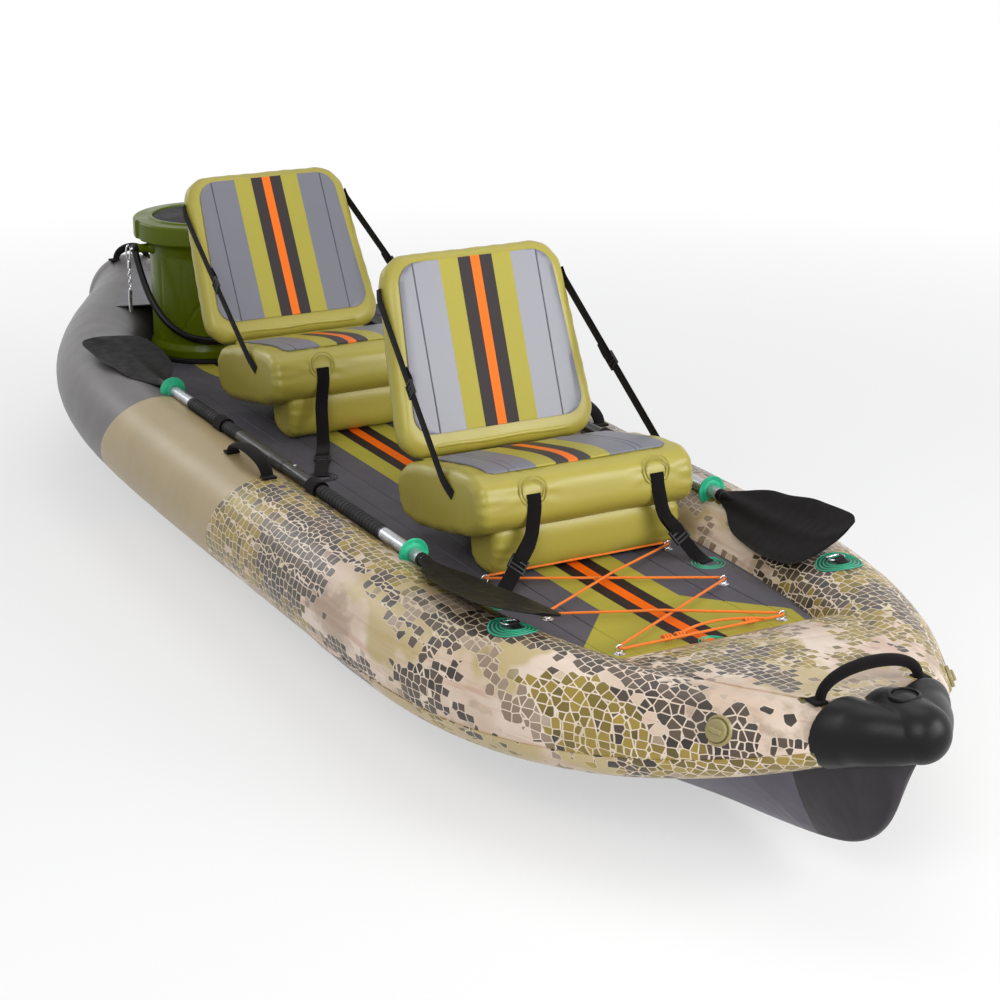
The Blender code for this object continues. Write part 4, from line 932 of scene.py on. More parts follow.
def nose():
    """The moulded cap: two sleeves over the tube ends, drawn together into a round bumper, as one skin."""
    reach = BOW_Y - TIP_Y
    parts = []
    for side in (-1, 1):
        end = tube_axis(side, BOW_Y)
        sections = []
        for t, inward, wide in ((0.88, 0.10, 0.52), (0.72, 0.24, 0.72), (0.5, 0.50, 0.87),
                                (0.28, 0.72, 0.95), (0.20, 0.82, 1.0), (0.12, 0.905, 1.05),
                                (0.065, 0.95, 1.085), (0.0125, 0.985, 1.11)):
            size = (BOW_R + NOSE_WALL) * wide
            sections.append((BOW_Y - reach * t, end.x * inward, end.z + (NOSE_Z - end.z) * t, size, size))
        lines = [curve([Vector((s[1], s[0], s[2])) for s in sections], 5),
                 curve([Vector((s[3], s[4], 0)) for s in sections], 5)]
        parts.append(skin_data(ellipse_rings([(c.y, c.x, c.z, r.x, r.y) for c, r in zip(*lines)])))
    sections = [(TIP_Y + 0.0002, 0, NOSE_Z, 0.004, 0.004)]
    for t in range(78, -1, -6):
        size = NOSE_BULB_R * cosd(t)
        sections.append((TIP_Y + NOSE_BULB_R * (1 - sind(t)), 0, NOSE_Z, size, size))
    sections.append((BOW_Y - 0.062, 0, NOSE_Z, NOSE_BULB_R * 1.02, NOSE_BULB_R * 1.02))
    sections.append((BOW_Y - 0.003, 0, NOSE_Z - 0.0144, NOSE_BULB_R * 1.1, NOSE_BULB_R * 1.1))
    parts.append(skin_data(ellipse_rings(sections)))
    verts, faces, _ = join(*parts)
    obj = piece("nose_cap", (verts, faces, None), "black", stands_for=["nose_cone"], sharp=60)
    remesh = obj.modifiers.new("one skin", "REMESH")
    remesh.mode = "VOXEL"
    remesh.voxel_size = 0.0026
    remesh.use_smooth_shade = True
    relax = obj.modifiers.new("relax", "SMOOTH")
    relax.factor = 0.6
    relax.iterations = 4
    graph = bpy.context.evaluated_depsgraph_get()
    mesh = bpy.data.meshes.new_from_object(obj.evaluated_get(graph))
    obj.modifiers.clear()
    obj.data = mesh
    seat = move(0, TIP_Y + 0.095, NOSE_Z + NOSE_BULB_R * 0.87)
    lip = [(0.0215, 0.0), (0.0275, 0.0), (0.0275, 0.0065), (0.0235, 0.0085), (0.0215, 0.0075)]
    turned("nose_socket_lip", lip, seat, "black", bevel=0.0012, closed=True)
    button = [(0, 0.0), (0.021, 0.0), (0.021, 0.0045), (0.0165, 0.0060), (0.0140, 0.0030), (0.0080, 0.0030),
              (0.0070, 0.0055), (0, 0.0058)]
    turned("nose_button", button, seat, "rubber", bevel=0.001, stands_for=["nose_fitting"])


nose()


# Handles, patches, valves


def handle(name, a, b, height, radius, node_name, wide=1.0):
    """A padded carrying handle: a soft arch, thicker at its grip, on two sewn feet."""
    middle = (a + b) / 2
    points = []
    radii = []
    for t in spread(0, pi, 40):
        place = middle + (a - b) / 2 * cos(t)
        place.z += height * sin(t) ** 0.8
        points.append(place)
        radii.append(radius * (0.80 + 0.20 * sin(t) ** 2))
    up = Vector((0, 0, 1)).cross(a - b).normalized()
    rod(name, points, radii, "web", sides=28, flat=wide, up=up, stands_for=[node_name])
    for i, foot in enumerate((a, b)):
        away = (foot - middle).normalized()
        place = facing(foot + away * 0.006 + Vector((0, 0, 0.003)), (0, 0, 1), away)
        piece(f"{name}_foot_{i + 1}", block_data((0.030, 0.026, 0.005), place, 0.0018), "web")


BOW_GRIP_Y = BOW_Y + 0.018
STERN_GRIP_Z = TUBE_Z + STERN_RISE + STERN_R - 0.012
handle("bow_grip", on_tube(-1, BOW_GRIP_Y, 80)[0], on_tube(1, BOW_GRIP_Y, 80)[0], 0.05, 0.011, "bow_handle")
stern_feet = [Vector((x, STERN_Y - 0.006, STERN_GRIP_Z)) for x in (-0.045, 0.045)]
handle("stern_grip", *stern_feet, 0.036, 0.011, "stern_handle")
for side_name, side_sign in SIDES.items():
    side_feet = [on_tube(side_sign, y, 88)[0] for y in (-0.17, 0.02)]
    handle(side_name + "_grip", *side_feet, 0.036, 0.0066, side_name + "_handle", 2.6)


def ring_patch(name, side):
    """A round rubber patch with raised rings, moulded to the tube, with a tab that holds the D-ring."""

    def on_patch(u, v, lift=0.0018):
        return on_tube(side, RING_Y + v, RING_ANGLE - degrees(u / tube_radius(RING_Y)), lift)[0]

    rings = []
    for r in spread(0.0, 0.046, 46):
        lift = 0.0003 if r > 0.0455 else 0.0017
        rings.append([on_patch(r * cos(t), r * sin(t), lift) for t in around(72)])
    skin(name + "_round_patch", rings, "patch", caps=False, stands_for=[name + "_ring_patch"])
    ridges(name + "_patch_ridges", (0.0435, 0.0365, 0.0295, 0.0225), 0.0013, 72, on_patch, "teal")
    keeper = facing(*on_tube(side, RING_Y, RING_ANGLE)) @ move(0, 0, 0.0018 + 4 * GAP)
    corners = ((0.016, 0.0225), (-0.016, 0.0225), (-0.016, 0.0), (0.016, 0.0))
    loop = soften([keeper @ Vector((x, y, 0.0024)) for x, y in corners], 0.009, 6, True)
    rod(name + "_ring", loop, 0.0022, "steel", sides=12, closed=True, body=name + "_d_ring",
        stands_for=[name + "_d_ring"])
    path = ((-0.020, 0.0), (-0.008, 0.0012), (-0.003, 0.0058), (0.003, 0.0058), (0.007, 0.0012),
            (0.009, 0.0002))
    path = curve([keeper @ Vector((0, y, z)) for y, z in path], 5)
    skin(name + "_ring_tab", strip_rings(path, keeper.to_3x3() @ Vector((1, 0, 0)), 0.020, 0.0014), "rubber")


def valve(name, side):
    """An inflation valve sunk in the tube, and its ribbed cap with a wing to turn it by."""
    place = facing(*on_tube(side, VALVE_Y, VALVE_ANGLE))
    base = [(0.0, -0.016), (0.026, -0.016), (0.026, -0.0035), (0.0235, 0.0002), (0.0205, 0.0002),
            (0.0200, -0.002), (0.0, -0.002)]
    turned(name + "_valve_body", base, place, "valve", sides=48, bevel=0.001)
    top = place @ move(0, 0, 0.001 + GAP)
    knurl = [(0, 0), (0.019, 0), (0.019, 0.005), (0.0175, 0.0062), (0, 0.0062)]
    turned(name + "_valve_turn_cap", knurl, top, "valve", sides=96, bevel=0.0008,
           shape=lambda turn, r, z: r * (1 + (0.02 * cos(turn * 24) if r > 0.0185 else 0.0)),
           body=name + "_valve_cap", stands_for=[name + "_valve_cap"])
    wing = block_data((0.008, 0.026, 0.006), top @ move(0, 0, 0.0085), 0.0018)
    piece(name + "_valve_wing", wing, "valve", body=name + "_valve_cap")


for side_name, side_sign in SIDES.items():
    ring_patch(side_name, side_sign)
    valve(side_name, side_sign)


def deck_patch(name, x, y, radius=0.034, mat="teal"):
    """Faint raised rings of a round patch on the deck, where a strap ends."""

    def on_deck(u, v):
        here = Vector((x + u, y + v, 0))
        here.z = deck_z(here.y) + GAP
        return here

    ridges(name, [radius * share - 0.0012 for share in (1.0, 0.80, 0.60)], 0.0010, 48, on_deck, mat)


# Seats


def seat_frame(name):
    return move(0, SEAT_BACKS[name] - SEAT_D / 2, SEAT_MID) @ tilt(-SEAT_TILT, "X")


def superellipse(a, b, power, count):
    points = []
    for turn in around(count):
        c = cos(turn)
        s = sin(turn)
        scale = (abs(c) ** power + abs(s) ** power) ** (-1 / power)
        points.append((a * c * scale, b * s * scale))
    return points


def cushion(name, half_w, a, b, power, place, node_name, seed, welds=()):
    """An air chamber: a soft section run across the boat, with rounded ends and gathers at its end seams."""
    edge = 0.34 * min(a, b)
    ends = [(half_w - edge * 0.95 * (1 - sind(t)), edge * (1 - cosd(t))) for t in range(0, 91, 6)]
    ends.sort(key=lambda q: q[0])
    across = [(-x, i) for x, i in reversed(ends)]
    across += [(x, 0.0) for x in spread(-ends[0][0], ends[0][0], 36)[1:-1]]
    rings = []
    for x, inset in across + ends:
        near_end = max(0.0, 1 - (half_w - abs(x)) / 0.09)
        ring = []
        for y, z in superellipse(a, b, power, 96):
            p = Vector((x, y * (a - inset) / a, z * (b - inset) / b))
            turn = atan2(z / b, y / a)
            gather = noise.noise(Vector((cos(turn) * 5 + seed, sin(turn) * 5, x * 9)))
            fan = sin(turn * 17 + 2.5 * gather) ** 3
            pleat = near_end * near_end * (0.0030 * gather + 0.0016 * fan)
            for wx, wz in welds if y < 0 else ():
                off = hypot(x - wx, z - wz)
                spoke = sin(atan2(z - wz, x - wx) * 9 + seed)
                pleat += 0.0011 * spoke * exp(-(((off - 0.040) / 0.013) ** 2))
            swell = 0.0018 * noise.noise(p * 10 + Vector((seed, 0, 0)))
            out = Vector((0, p.y / a, p.z / b)).normalized()
            ring.append(place @ (p + out * (swell + pleat - 0.0008)))
        rings.append(ring)

    def closing(end):
        """Smaller and smaller copies of an end ring, which close the end."""
        centre = sum(end, Vector()) / len(end)
        return [[centre + (p - centre) * shrink for p in end] for shrink in (0.92, 0.8, 0.6, 0.35, 0.12)]

    rings = closing(rings[0])[::-1] + rings + closing(rings[-1])
    skin(name, rings, "olive", stands_for=[node_name], sharp=60)


def seat_top(y):
    t = min(abs(y) / (SEAT_D / 2), 1.0)
    return SEAT_T / 2 * (1 - t**3.5) ** (1 / 3.5)


def board_half(z):
    """Half-width of a backrest at a height above its hinge."""
    return BOARD_FOOT - BOARD_NARROWS * z / BOARD_H


def board_outline():
    """Points round the backrest, which narrows upwards and has round corners."""
    points = []
    for sx, sz, start in ((1, 1, 0), (-1, 1, 90), (-1, -1, 180), (1, -1, 270)):
        for turn in spread(start, start + 90, 12):
            z = (BOARD_H - BOARD_CORNER if sz > 0 else BOARD_CORNER) + BOARD_CORNER * sind(turn)
            points.append((sx * (board_half(z) - BOARD_CORNER) + BOARD_CORNER * cosd(turn), z))
    line = []
    for i, (x, z) in enumerate(points):
        nx, nz = points[(i + 1) % len(points)]
        parts = max(1, int(hypot(nx - x, nz - z) / 0.02))
        line += [(x + (nx - x) * k / parts, z + (nz - z) * k / parts) for k in range(parts)]
    return line


def backrest(name, lean, seed):
    """The inflated backrest: a soft-edged panel with a swollen border, a foam pad and a fold at its foot."""
    base = board_outline()
    centre = Vector((0, 0, BOARD_H / 2))

    def ring_at(t, inset, shrink=1.0):
        ring = []
        for x, z in base:
            toward = Vector((x, 0, z)) - centre
            size = max(abs(toward.x), abs(toward.z))
            p = centre + toward * shrink * (1 - inset / max(size, 0.05))
            depth = BOARD_T * t
            if shrink == 1.0:
                swell = 0.0014 * noise.noise(Vector((p.x * 12 + seed, depth * 12, p.z * 12)))
                pucker = 0.0007 * sin(atan2(toward.z, toward.x) * 40) * (0.05 < t < 0.95)
                p += toward.normalized() * (swell + pucker - 0.0006)
            ring.append(lean @ Vector((p.x, depth, p.z)))
        return ring

    shrinks = (0.1, 0.4, 0.7, 0.86, 0.95)
    rings = [ring_at(0.0, BOARD_EDGE, shrink) for shrink in shrinks]
    for t in (0.0, 0.008, 0.03, 0.07, 0.13, 0.22, 0.34, 0.5, 0.66, 0.78, 0.87, 0.93, 0.97, 0.992, 1.0):
        rings.append(ring_at(t, BOARD_EDGE * (1 - sqrt(max(0.0, 1 - abs(2 * t - 1) ** 2.2)))))
    rings += [ring_at(1.0, BOARD_EDGE, shrink) for shrink in shrinks[::-1]]
    body = name + "_backrest"
    chamber = skin(name + "_back_chamber", rings, "olive", body=body, stands_for=[body], sharp=70)
    low = 0.045
    high = low + 0.3484
    corner = [PAD_CORNER * (1 - cosd(t)) for t in range(0, 91, 7)]
    zs = sorted(set([low + c for c in corner] + [high - c for c in corner]
                    + spread(low + 0.05, high - 0.05, 22)))

    def pad_half(z):
        half = board_half(z) - 0.031
        near = min(z - low, high - z)
        if near < PAD_CORNER:
            half -= PAD_CORNER - sqrt(max(0.0, PAD_CORNER**2 - (PAD_CORNER - near) ** 2))
        return half

    flat = Matrix(((1, 0, 0, 0), (0, 0, -1, 0), (0, 1, 0, 0), (0, 0, 0, 1)))
    foam = panel(name + "_back_foam", columns(PAD_HALF, (SEAM_X,)), zs, pad_half, lambda y: 0.0043,
                 (SEAM_X,), 0.0014, 0.0040, "back_foam", place=lean @ flat, body=body,
                 stands_for=[body + "_pad"])
    xs = spread(-0.168, 0.168, 30)
    ridge = [lean @ Vector((x, 0.0062, 0.021 + 0.001 * sin(x * 40))) for x in xs]
    radii = [0.008 * min(1.0, 0.25 + (0.168 - abs(x)) / 0.03) for x in xs]
    rod(name + "_back_fold", ridge, radii, "olive", sides=20, flat=0.8, body=body)


def ladder_buckle(place, width, length=0.032, thick=0.006):
    """Rails and bars of a ladder-lock buckle."""
    rail = width / 2 - 0.002
    parts = [block_data((0.004, length, thick), place @ move(x, 0, 0), 0.0012) for x in (-rail, rail)]
    for y, lift in ((-length / 2 + 0.002, 0), (-0.005, 0.0012), (0.005, 0.0012), (length / 2 - 0.003, 0)):
        parts.append(block_data((width - 0.004, 0.0042, thick * 0.8), place @ move(0, y, lift), 0.0012))
    return join(*parts)


def strap(name, points, wide, buckle_at, node_name, body="hull", width=0.024):
    """Webbing with a ladder buckle and the loose tail that comes out of it."""
    across = Vector(wide)
    web = skin_data(strip_rings(dense(soften(points, 0.02, 4), 0.008), across, width, 0.0018))
    a, b = Vector(points[buckle_at]), Vector(points[buckle_at + 1])
    along = (b - a).normalized()
    normal = along.cross(across).normalized()
    if normal.z < 0 and abs(normal.z) > 0.2:
        normal = -normal
    middle = (a + b) / 2
    loose = ((0.003, 0.004), (0.006, 0.018), (0.004, 0.048))
    loose = [middle + normal * up - along * back for up, back in loose]
    end = skin_data(strip_rings(curve(loose, 5), across, width - 0.002, 0.0016))
    obj = piece(name, join(web, end), "web", body=body, stands_for=[node_name])
    buckle = ladder_buckle(facing(middle, normal, along), width + 0.007)
    return obj, piece(name + "_buckle", buckle, "buckle", body=body)


def side_strap(name, side_name, side, slab, lean):
    """The strap from the seat's side up to the backrest."""
    up = BOARD_H * 0.8
    taper = -2 * BOARD_NARROWS / BOARD_H
    edge = BOARD_FOOT + taper / 2 * up
    close = 2 * GAP + 0.001
    half = SEAT_W / 2
    sewn = lean @ Vector((side * (edge + taper / 2 * 0.02 + close + GAP), BOARD_T / 2, up + 0.02))
    high = lean @ Vector((side * (edge + 0.004), BOARD_T / 2, up))
    low = slab @ Vector((side * (half + 0.005), -0.05, SEAT_T * 0.31))
    foot = slab @ Vector((side * (half + close), -0.078, SEAT_T * 0.12))
    path = [sewn, high, high.lerp(low, 0.45), high.lerp(low, 0.56), low, foot]
    wide = (low - high).normalized().cross(Vector((side, 0, 0)))
    label = f"{name}_{side_name}"
    for part in strap(label + "_back_strap", path, wide, 2, label + "_side_strap", body=None):
        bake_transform(part)


def hold_down(name, side_name, side, slab, under):
    """The strap from the seat's front down to a patch on the deck, and the weld rings where it starts."""
    x_top = SEAT_SHIFTS[name] + TIE_MID + side * TIE_HALF
    top = slab @ Vector((0, -SEAT_D / 2 - 0.001 - GAP, 0))
    flat = slab.to_3x3() @ Vector((0, 0, 0.013))
    end_x, reach, landing = HOLD_DOWNS[name]
    end_x = side * end_x
    end_y = top.y - reach
    land_x = x_top + (end_x - x_top) * landing
    path = [
        Vector((x_top, top.y + flat.y, top.z + flat.z)),
        Vector((x_top, top.y - flat.y, top.z - flat.z)),
        Vector((x_top + side * 0.010, top.y - 0.008, under - 0.004)),
        Vector((land_x, top.y - 0.058, DECK_Z + 0.013)),
        Vector((end_x - side * 0.004, end_y + 0.016, deck_z(end_y) + GAP + 0.004)),
        Vector((end_x, end_y, deck_z(end_y) + GAP + 0.002)),
    ]
    label = f"{name}_{side_name}"
    front = name == "front"
    strap(label + "_tie", path, (1, 0, 0), 2 if front else 3, label + "_hold_down", width=0.030)
    deck_patch(label + "_deck_patch", end_x, end_y, mat="teal" if front else "rubber")
    front_face = slab.to_3x3() @ Vector((0, -1, 0))
    tab = facing(top + Vector((x_top - top.x, 0, 0)) + flat * 1.4, front_face, (0, 0, 1))
    ridges(label + "_weld_rings", (0.030, 0.023), 0.0012, 48, lambda u, v: tab @ Vector((u, v, -0.0006)),
           "olive")


def seat(name):
    """Two cushions with foam, a heel under them, the backrest with its hinge web, and the straps."""
    hinge_y = HINGE_YS[name]
    base = move(SEAT_SHIFTS[name], hinge_y, 0)
    local = seat_frame(name)
    slab = base @ local
    seed = 1.3 if name == "front" else 4.1
    welds = [(TIE_MID + side * TIE_HALF, 0.018) for side in (-1, 1)]
    cushion(name + "_upper_cushion", SEAT_W / 2, SEAT_D / 2, SEAT_T / 2, 3.5, slab, name + "_seat_upper",
            seed, welds)
    under = SEAT_MID + SEAT_D / 2 * sind(SEAT_TILT) - SEAT_T / 2
    low_b = (under + 0.030 - DECK_Z - GAP) / 2
    front = local @ Vector((0, -SEAT_D / 2, -SEAT_T / 4))
    lower = base @ move(0.010, front.y + 0.06 + 0.022, DECK_Z + GAP + low_b)
    cushion(name + "_lower_cushion", 0.21, 0.06, low_b, 2.8, lower, name + "_seat_lower", seed + 2)
    back = SEAT_D / 2 - SEAT_BACKS[name] - 0.052
    ys = spread(-SEAT_D / 2 + 0.035, back, 26)

    def foam_half(y):
        return PAD_HALF - 0.012 * max(0, 1 - min(y - ys[0], back - y) / 0.012) ** 2

    foam = panel(name + "_seat_foam", columns(PAD_HALF, (SEAM_X,)), ys, foam_half,
                 lambda y: seat_top(y) + GAP + 0.004, (SEAM_X,), 0.0014, 0.0038, "seat_foam", place=slab,
                 stands_for=[name + "_seat_pad"])
    heel = block_data((0.20, 0.07, 0.06), base @ move(0, -0.030, DECK_Z + 0.0303), 0.012)
    piece(name + "_seat_heel", heel, "olive")

    lean = move(0, hinge_y, HINGE_Z) @ tilt(-RECLINES[name], "X")
    backrest(name, lean, seed)
    low, high = [Vector((0, hinge_y - 0.003, HINGE_Z - drop)) for drop in (0.038, 0.002)]
    web = strip_rings([low, low.lerp(high, 0.5), high], (1, 0, 0), 0.334, 0.0045)
    skin(name + "_hinge_web", web, "olive")
    for side_name, side in SIDES.items():
        side_strap(name, side_name, side, slab, lean)
        hold_down(name, side_name, side, slab, under)


for seat_name in HINGE_YS:
    seat(seat_name)


# Lacing on the front deck


def lacing():
    """Eyes on the deck with their rings, the closed cord through them, and its knots and tail."""
    for i, (x, y) in enumerate(ANCHORS):
        low = deck_z(y) + GAP
        for name, side in SIDES.items():
            place = move(side * x, y, low)
            disc = [(0, 0), (0.011, 0), (0.011, 0.0008), (0.008, 0.0018), (0.003, 0.0022), (0, 0.0022)]
            turned(f"{name}_deck_eye_{i + 1}", disc, place, "steel", sides=32,
                   stands_for=[f"{name}_eye_{i + 1}"])
            loop = [place @ Vector((EYE_R * cos(t), 0, 0.0019 + EYE_R + EYE_R * sin(t)))
                    for t in around(28)]
            rod(f"{name}_deck_ring_{i + 1}", loop, EYE_WIRE, "steel", sides=10, closed=True)
    (x1, y1), (x2, y2), (x3, y3) = ANCHORS
    route = [(x1, y1), (-x1, y1), (x2, y2), (-x3, y3), (x3, y3), (-x2, y2)]
    hang = EYE_R * cosd(18) - EYE_WIRE - CORD_R - GAP
    bend_r = 0.007
    points = []
    for i, (x, y) in enumerate(route):
        before = Vector((*route[i - 1], 0))
        after = Vector((*route[(i + 1) % len(route)], 0))
        hub = Vector((x, y, 0)) - Vector(((1 if x > 0 else -1) * bend_r, 0, 0))
        arrive = (hub - before).normalized()
        leave = (after - hub).normalized()
        bend = 1 if arrive.cross(leave).z > 0 else -1
        start = atan2(arrive.y, arrive.x) - bend * pi / 2
        end = atan2(leave.y, leave.x) - bend * pi / 2
        while (end - start) * bend < 0:
            end += bend * 2 * pi
        height = deck_z(y) + GAP + 0.0094 + hang
        for turn in spread(start, end, 8):
            points.append(Vector((hub.x + bend_r * cos(turn), hub.y + bend_r * sin(turn), height)))
        if i in (4, 5):
            middle = (hub + after) / 2
            middle.z = deck_z(middle.y) + 0.0094 + hang + 0.0082
            points.append(middle)
    rod("lacing_cord", dense(points, 0.01, True), CORD_R, "cord", sides=12, closed=True,
        stands_for=["bungee_cord"])
    left = Vector((-x3 + bend_r, y3, deck_z(y3) + 0.0095 + hang))
    right = Vector((x3 - bend_r, y3, left.z))
    for tag, share in (("a", 0.28), ("b", 0.36), ("c", 0.80)):
        here = left.lerp(right, share)
        coil = []
        for k in range(40):
            turn = 2 * pi * k / 13
            coil.append(here + Vector(((k - 20) * 0.0005, 0.0050 * cos(turn), 0.0050 * sin(turn))))
        rod(f"lacing_knot_{tag}", coil, CORD_R, "cord", sides=10)
    tail = ((0.36, 0, 0.004), (0.5, 0.014, 0.005), (0.66, 0.016, 0.005), (0.80, 0, 0.005),
            (0.88, -0.012, 0.004))
    tail = [left.lerp(right, share) + Vector((0, y, z)) for share, y, z in tail]
    rod("lacing_tail", curve(tail, 8), CORD_R, "cord", sides=12)


lacing()
deck_patch("front_centre_patch", 0.003, -1.245, 0.026)
deck_patch("front_starboard_margin_patch", -0.270, -0.81, 0.030)


# Bucket cooler


def facets(turn, r, z):
    """Flat staves on the bucket, with a groove between them that sweeps round it."""
    if not 0.045 < z < 0.255 or r < 0.135:
        return r
    stave = abs((turn / (2 * pi) * 12) % 1 - 0.5)
    rib = 0.0026 * max(0.0, 1 - stave / 0.10)
    lean = (turn - 2.2) / 0.9
    sweep = abs(z - 0.10 - 0.06 * sin(lean * pi))
    cut = 0.0035 * max(0.0, 1 - sweep / 0.006)
    fade = min(1.0, (z - 0.045) / 0.02, (0.255 - z) / 0.02)
    return r - (rib + cut) * fade


def notched(turn, r, z):
    """The lid's flange, drawn in where the bail's pins are."""
    across = abs(sin(turn) * r)
    return min(r, 0.1735) if across < 0.015 and r > 0.17 else r


def cooler():
    """The bucket on its foot ring, and its lid."""
    stand = move(0, COOLER_Y, deck_z(COOLER_Y) + GAP)
    foot = [(0.128, 0), (0.148, 0), (0.148, 0.012), (0.128, 0.012)]
    turned("cooler_foot_ring", foot, stand, "rubber", sides=96, bevel=0.003, closed=True,
           stands_for=["cooler_foot"])
    base = stand @ move(0, 0, 0.012 + GAP)
    outer = [(0, 0), (0.144, 0), (0.147, 0.02), (0.140, 0.036)]
    outer += [(0.140, z) for z in spread(0.045, 0.262, 44)]
    outer += [(0.148, 0.288), (0.163, 0.302), (0.163, 0.330), (0.128, 0.330), (0.122, 0.280),
              (0.122, 0.018), (0, 0.018)]
    turned("cooler_bucket", outer, base, "cooler", sides=192, bevel=0.0025, shape=facets,
           stands_for=["cooler_body"])
    top = base @ move(0, 0, 0.3303)
    lid = [(0, 0), (0.165, 0), (0.165, -0.027), (0.178, -0.027), (0.180, -0.023), (0.180, 0.018),
           (0.176, 0.022), (0.142, 0.022), (0.140, 0.026), (0.130, 0.026), (0.128, 0.012), (0, 0.012)]
    turned("cooler_cap", lid, top, "cooler", sides=240, bevel=0.002, shape=notched, body="cooler_lid",
           stands_for=["cooler_lid"])
    mat = [(0, 0.0123), (0.127, 0.0123), (0.127, 0.021), (0.122, 0.0235)]
    mat += [(r, 0.0235 - 0.0009 * (i % 2)) for i, r in enumerate(spread(0.116, 0.012, 26))] + [(0, 0.0235)]
    turned("cooler_cap_mat", mat, top, "rubber", sides=96, body="cooler_lid",
           stands_for=["cooler_lid_insert"])
    return base @ move(0, 0, COOLER_HINGE_Z)


def bail(hinge):
    """The carrying bail with its eyes, and the ears and pins that it turns on."""
    points = []
    for turn in spread(0, pi, 72):
        c = cos(turn)
        s = sin(turn)
        scale = (abs(c) ** 2.8 + abs(s) ** 2.8) ** (-1 / 2.8)
        points.append(hinge @ tilt(-BAIL_DROP, "X") @ Vector((BAIL_R * c * scale, 0, -0.275 * s * scale)))
    grip = [0.0085 + 0.0020 * max(0.0, 1 - (abs(i - 36) / 13) ** 6) for i in range(73)]
    rod("cooler_handle", points, grip, "black", sides=18, body="cooler_bail", stands_for=["cooler_bail"])
    for tag, side in SIDES.items():
        turn = hinge @ tilt(side * 90, "Y")
        eye = [(0.0051, -0.0065), (0.0125, -0.0065), (0.0125, 0.0065), (0.0051, 0.0065)]
        turned(f"cooler_handle_eye_{tag}", eye, turn @ move(0, 0, BAIL_R), "black", sides=40, bevel=0.0015,
               closed=True, body="cooler_bail")
        ear = [(0, 0.13), (0.018, 0.13), (0.018, 0.145), (0.011, 0.156), (0.011, 0.182), (0, 0.182)]
        turned(f"cooler_ear_{tag}", ear, turn, "cooler", sides=40, bevel=0.002)
        pin = [(0, 0.18), (0.0045, 0.18), (0.0045, 0.2015), (0.0038, 0.2025), (0, 0.2025)]
        turned(f"cooler_pin_{tag}", pin, turn, "steel", sides=24)


def snap_hook(clip):
    """The snap hook on the starboard pin, with its barrel, its chain links and the bar at the end."""
    hook = ((0.0, -0.030), (-0.0045, -0.020), (-0.006, -0.005), (-0.004, 0.007), (0.001, 0.011),
            (0.005, 0.006), (0.0055, -0.004), (0.004, -0.016), (0.0015, -0.026))
    rod("cooler_snap_hook", curve([clip + Vector((x, 0, z)) for x, z in hook], 5), 0.0021, "steel", sides=12,
        body="cooler_clip", stands_for=["cooler_clip"])
    barrel = [(0, 0), (0.0045, 0), (0.0045, 0.018), (0.003, 0.022), (0, 0.022)]
    turned("cooler_snap_barrel", barrel, move(*(clip + Vector((0, 0, -0.050)))), "steel", sides=28,
           bevel=0.001, body="cooler_clip")
    for k in range(5):
        ring = []
        for t in around(20):
            across = 0.0042 * cos(t)
            drop = -0.056 - k * 0.011 + 0.0075 * sin(t)
            ring.append(clip + Vector((across * (k % 2), across * (1 - k % 2), drop)))
        rod(f"cooler_snap_link_{k + 1}", ring, 0.0014, "steel", sides=8, closed=True, body="cooler_clip")
    key = [clip + Vector(p) for p in ((0, 0, -0.106), (-0.001, 0.001, -0.135), (0, 0, -0.165))]
    rod("cooler_snap_key", curve(key, 6), 0.0026, "steel", sides=12, flat=2.0, body="cooler_clip")


cooler_hinge = cooler()
bail(cooler_hinge)
snap_hook(cooler_hinge.translation + Vector((CLIP_X, 0, 0)))


# Paddles


def blade(name, start, end, roll, long_side):
    """A scooped paddle blade with a ridge down its middle that fades towards the tip."""
    turn = start @ tilt(roll, "Y")
    rings = []
    for t, short, long in curve(BLADE_LINES, 7):
        ridge = 0.007 * (1.7 - 1.3 * t)
        mid = long_side * (short + long) / 2 * t
        low = min(long_side * short, long_side * long)
        high = max(long_side * short, long_side * long)
        dish = 0.006 * sin(pi * t)
        scoop = 0.030 * t * t
        top = []
        under = []
        for u in spread(0, 1, 16):
            x = low + (high - low) * u
            spine = exp(-((abs(x - mid) / 0.016) ** 2)) * ridge / 2
            across = dish * ((x - mid) / max(high - mid, mid - low)) ** 2
            rim = 0.0016 * min(1.0, 6 * min(u, 1 - u) + 0.35)
            top.append((x, across + rim + spine))
            under.append((x, across - rim - spine))
        rings.append([turn @ Vector((x, end * t * BLADE_L, z + scoop)) for x, z in top + under[::-1]])
    skin(name, rings, "blade", sharp=50)


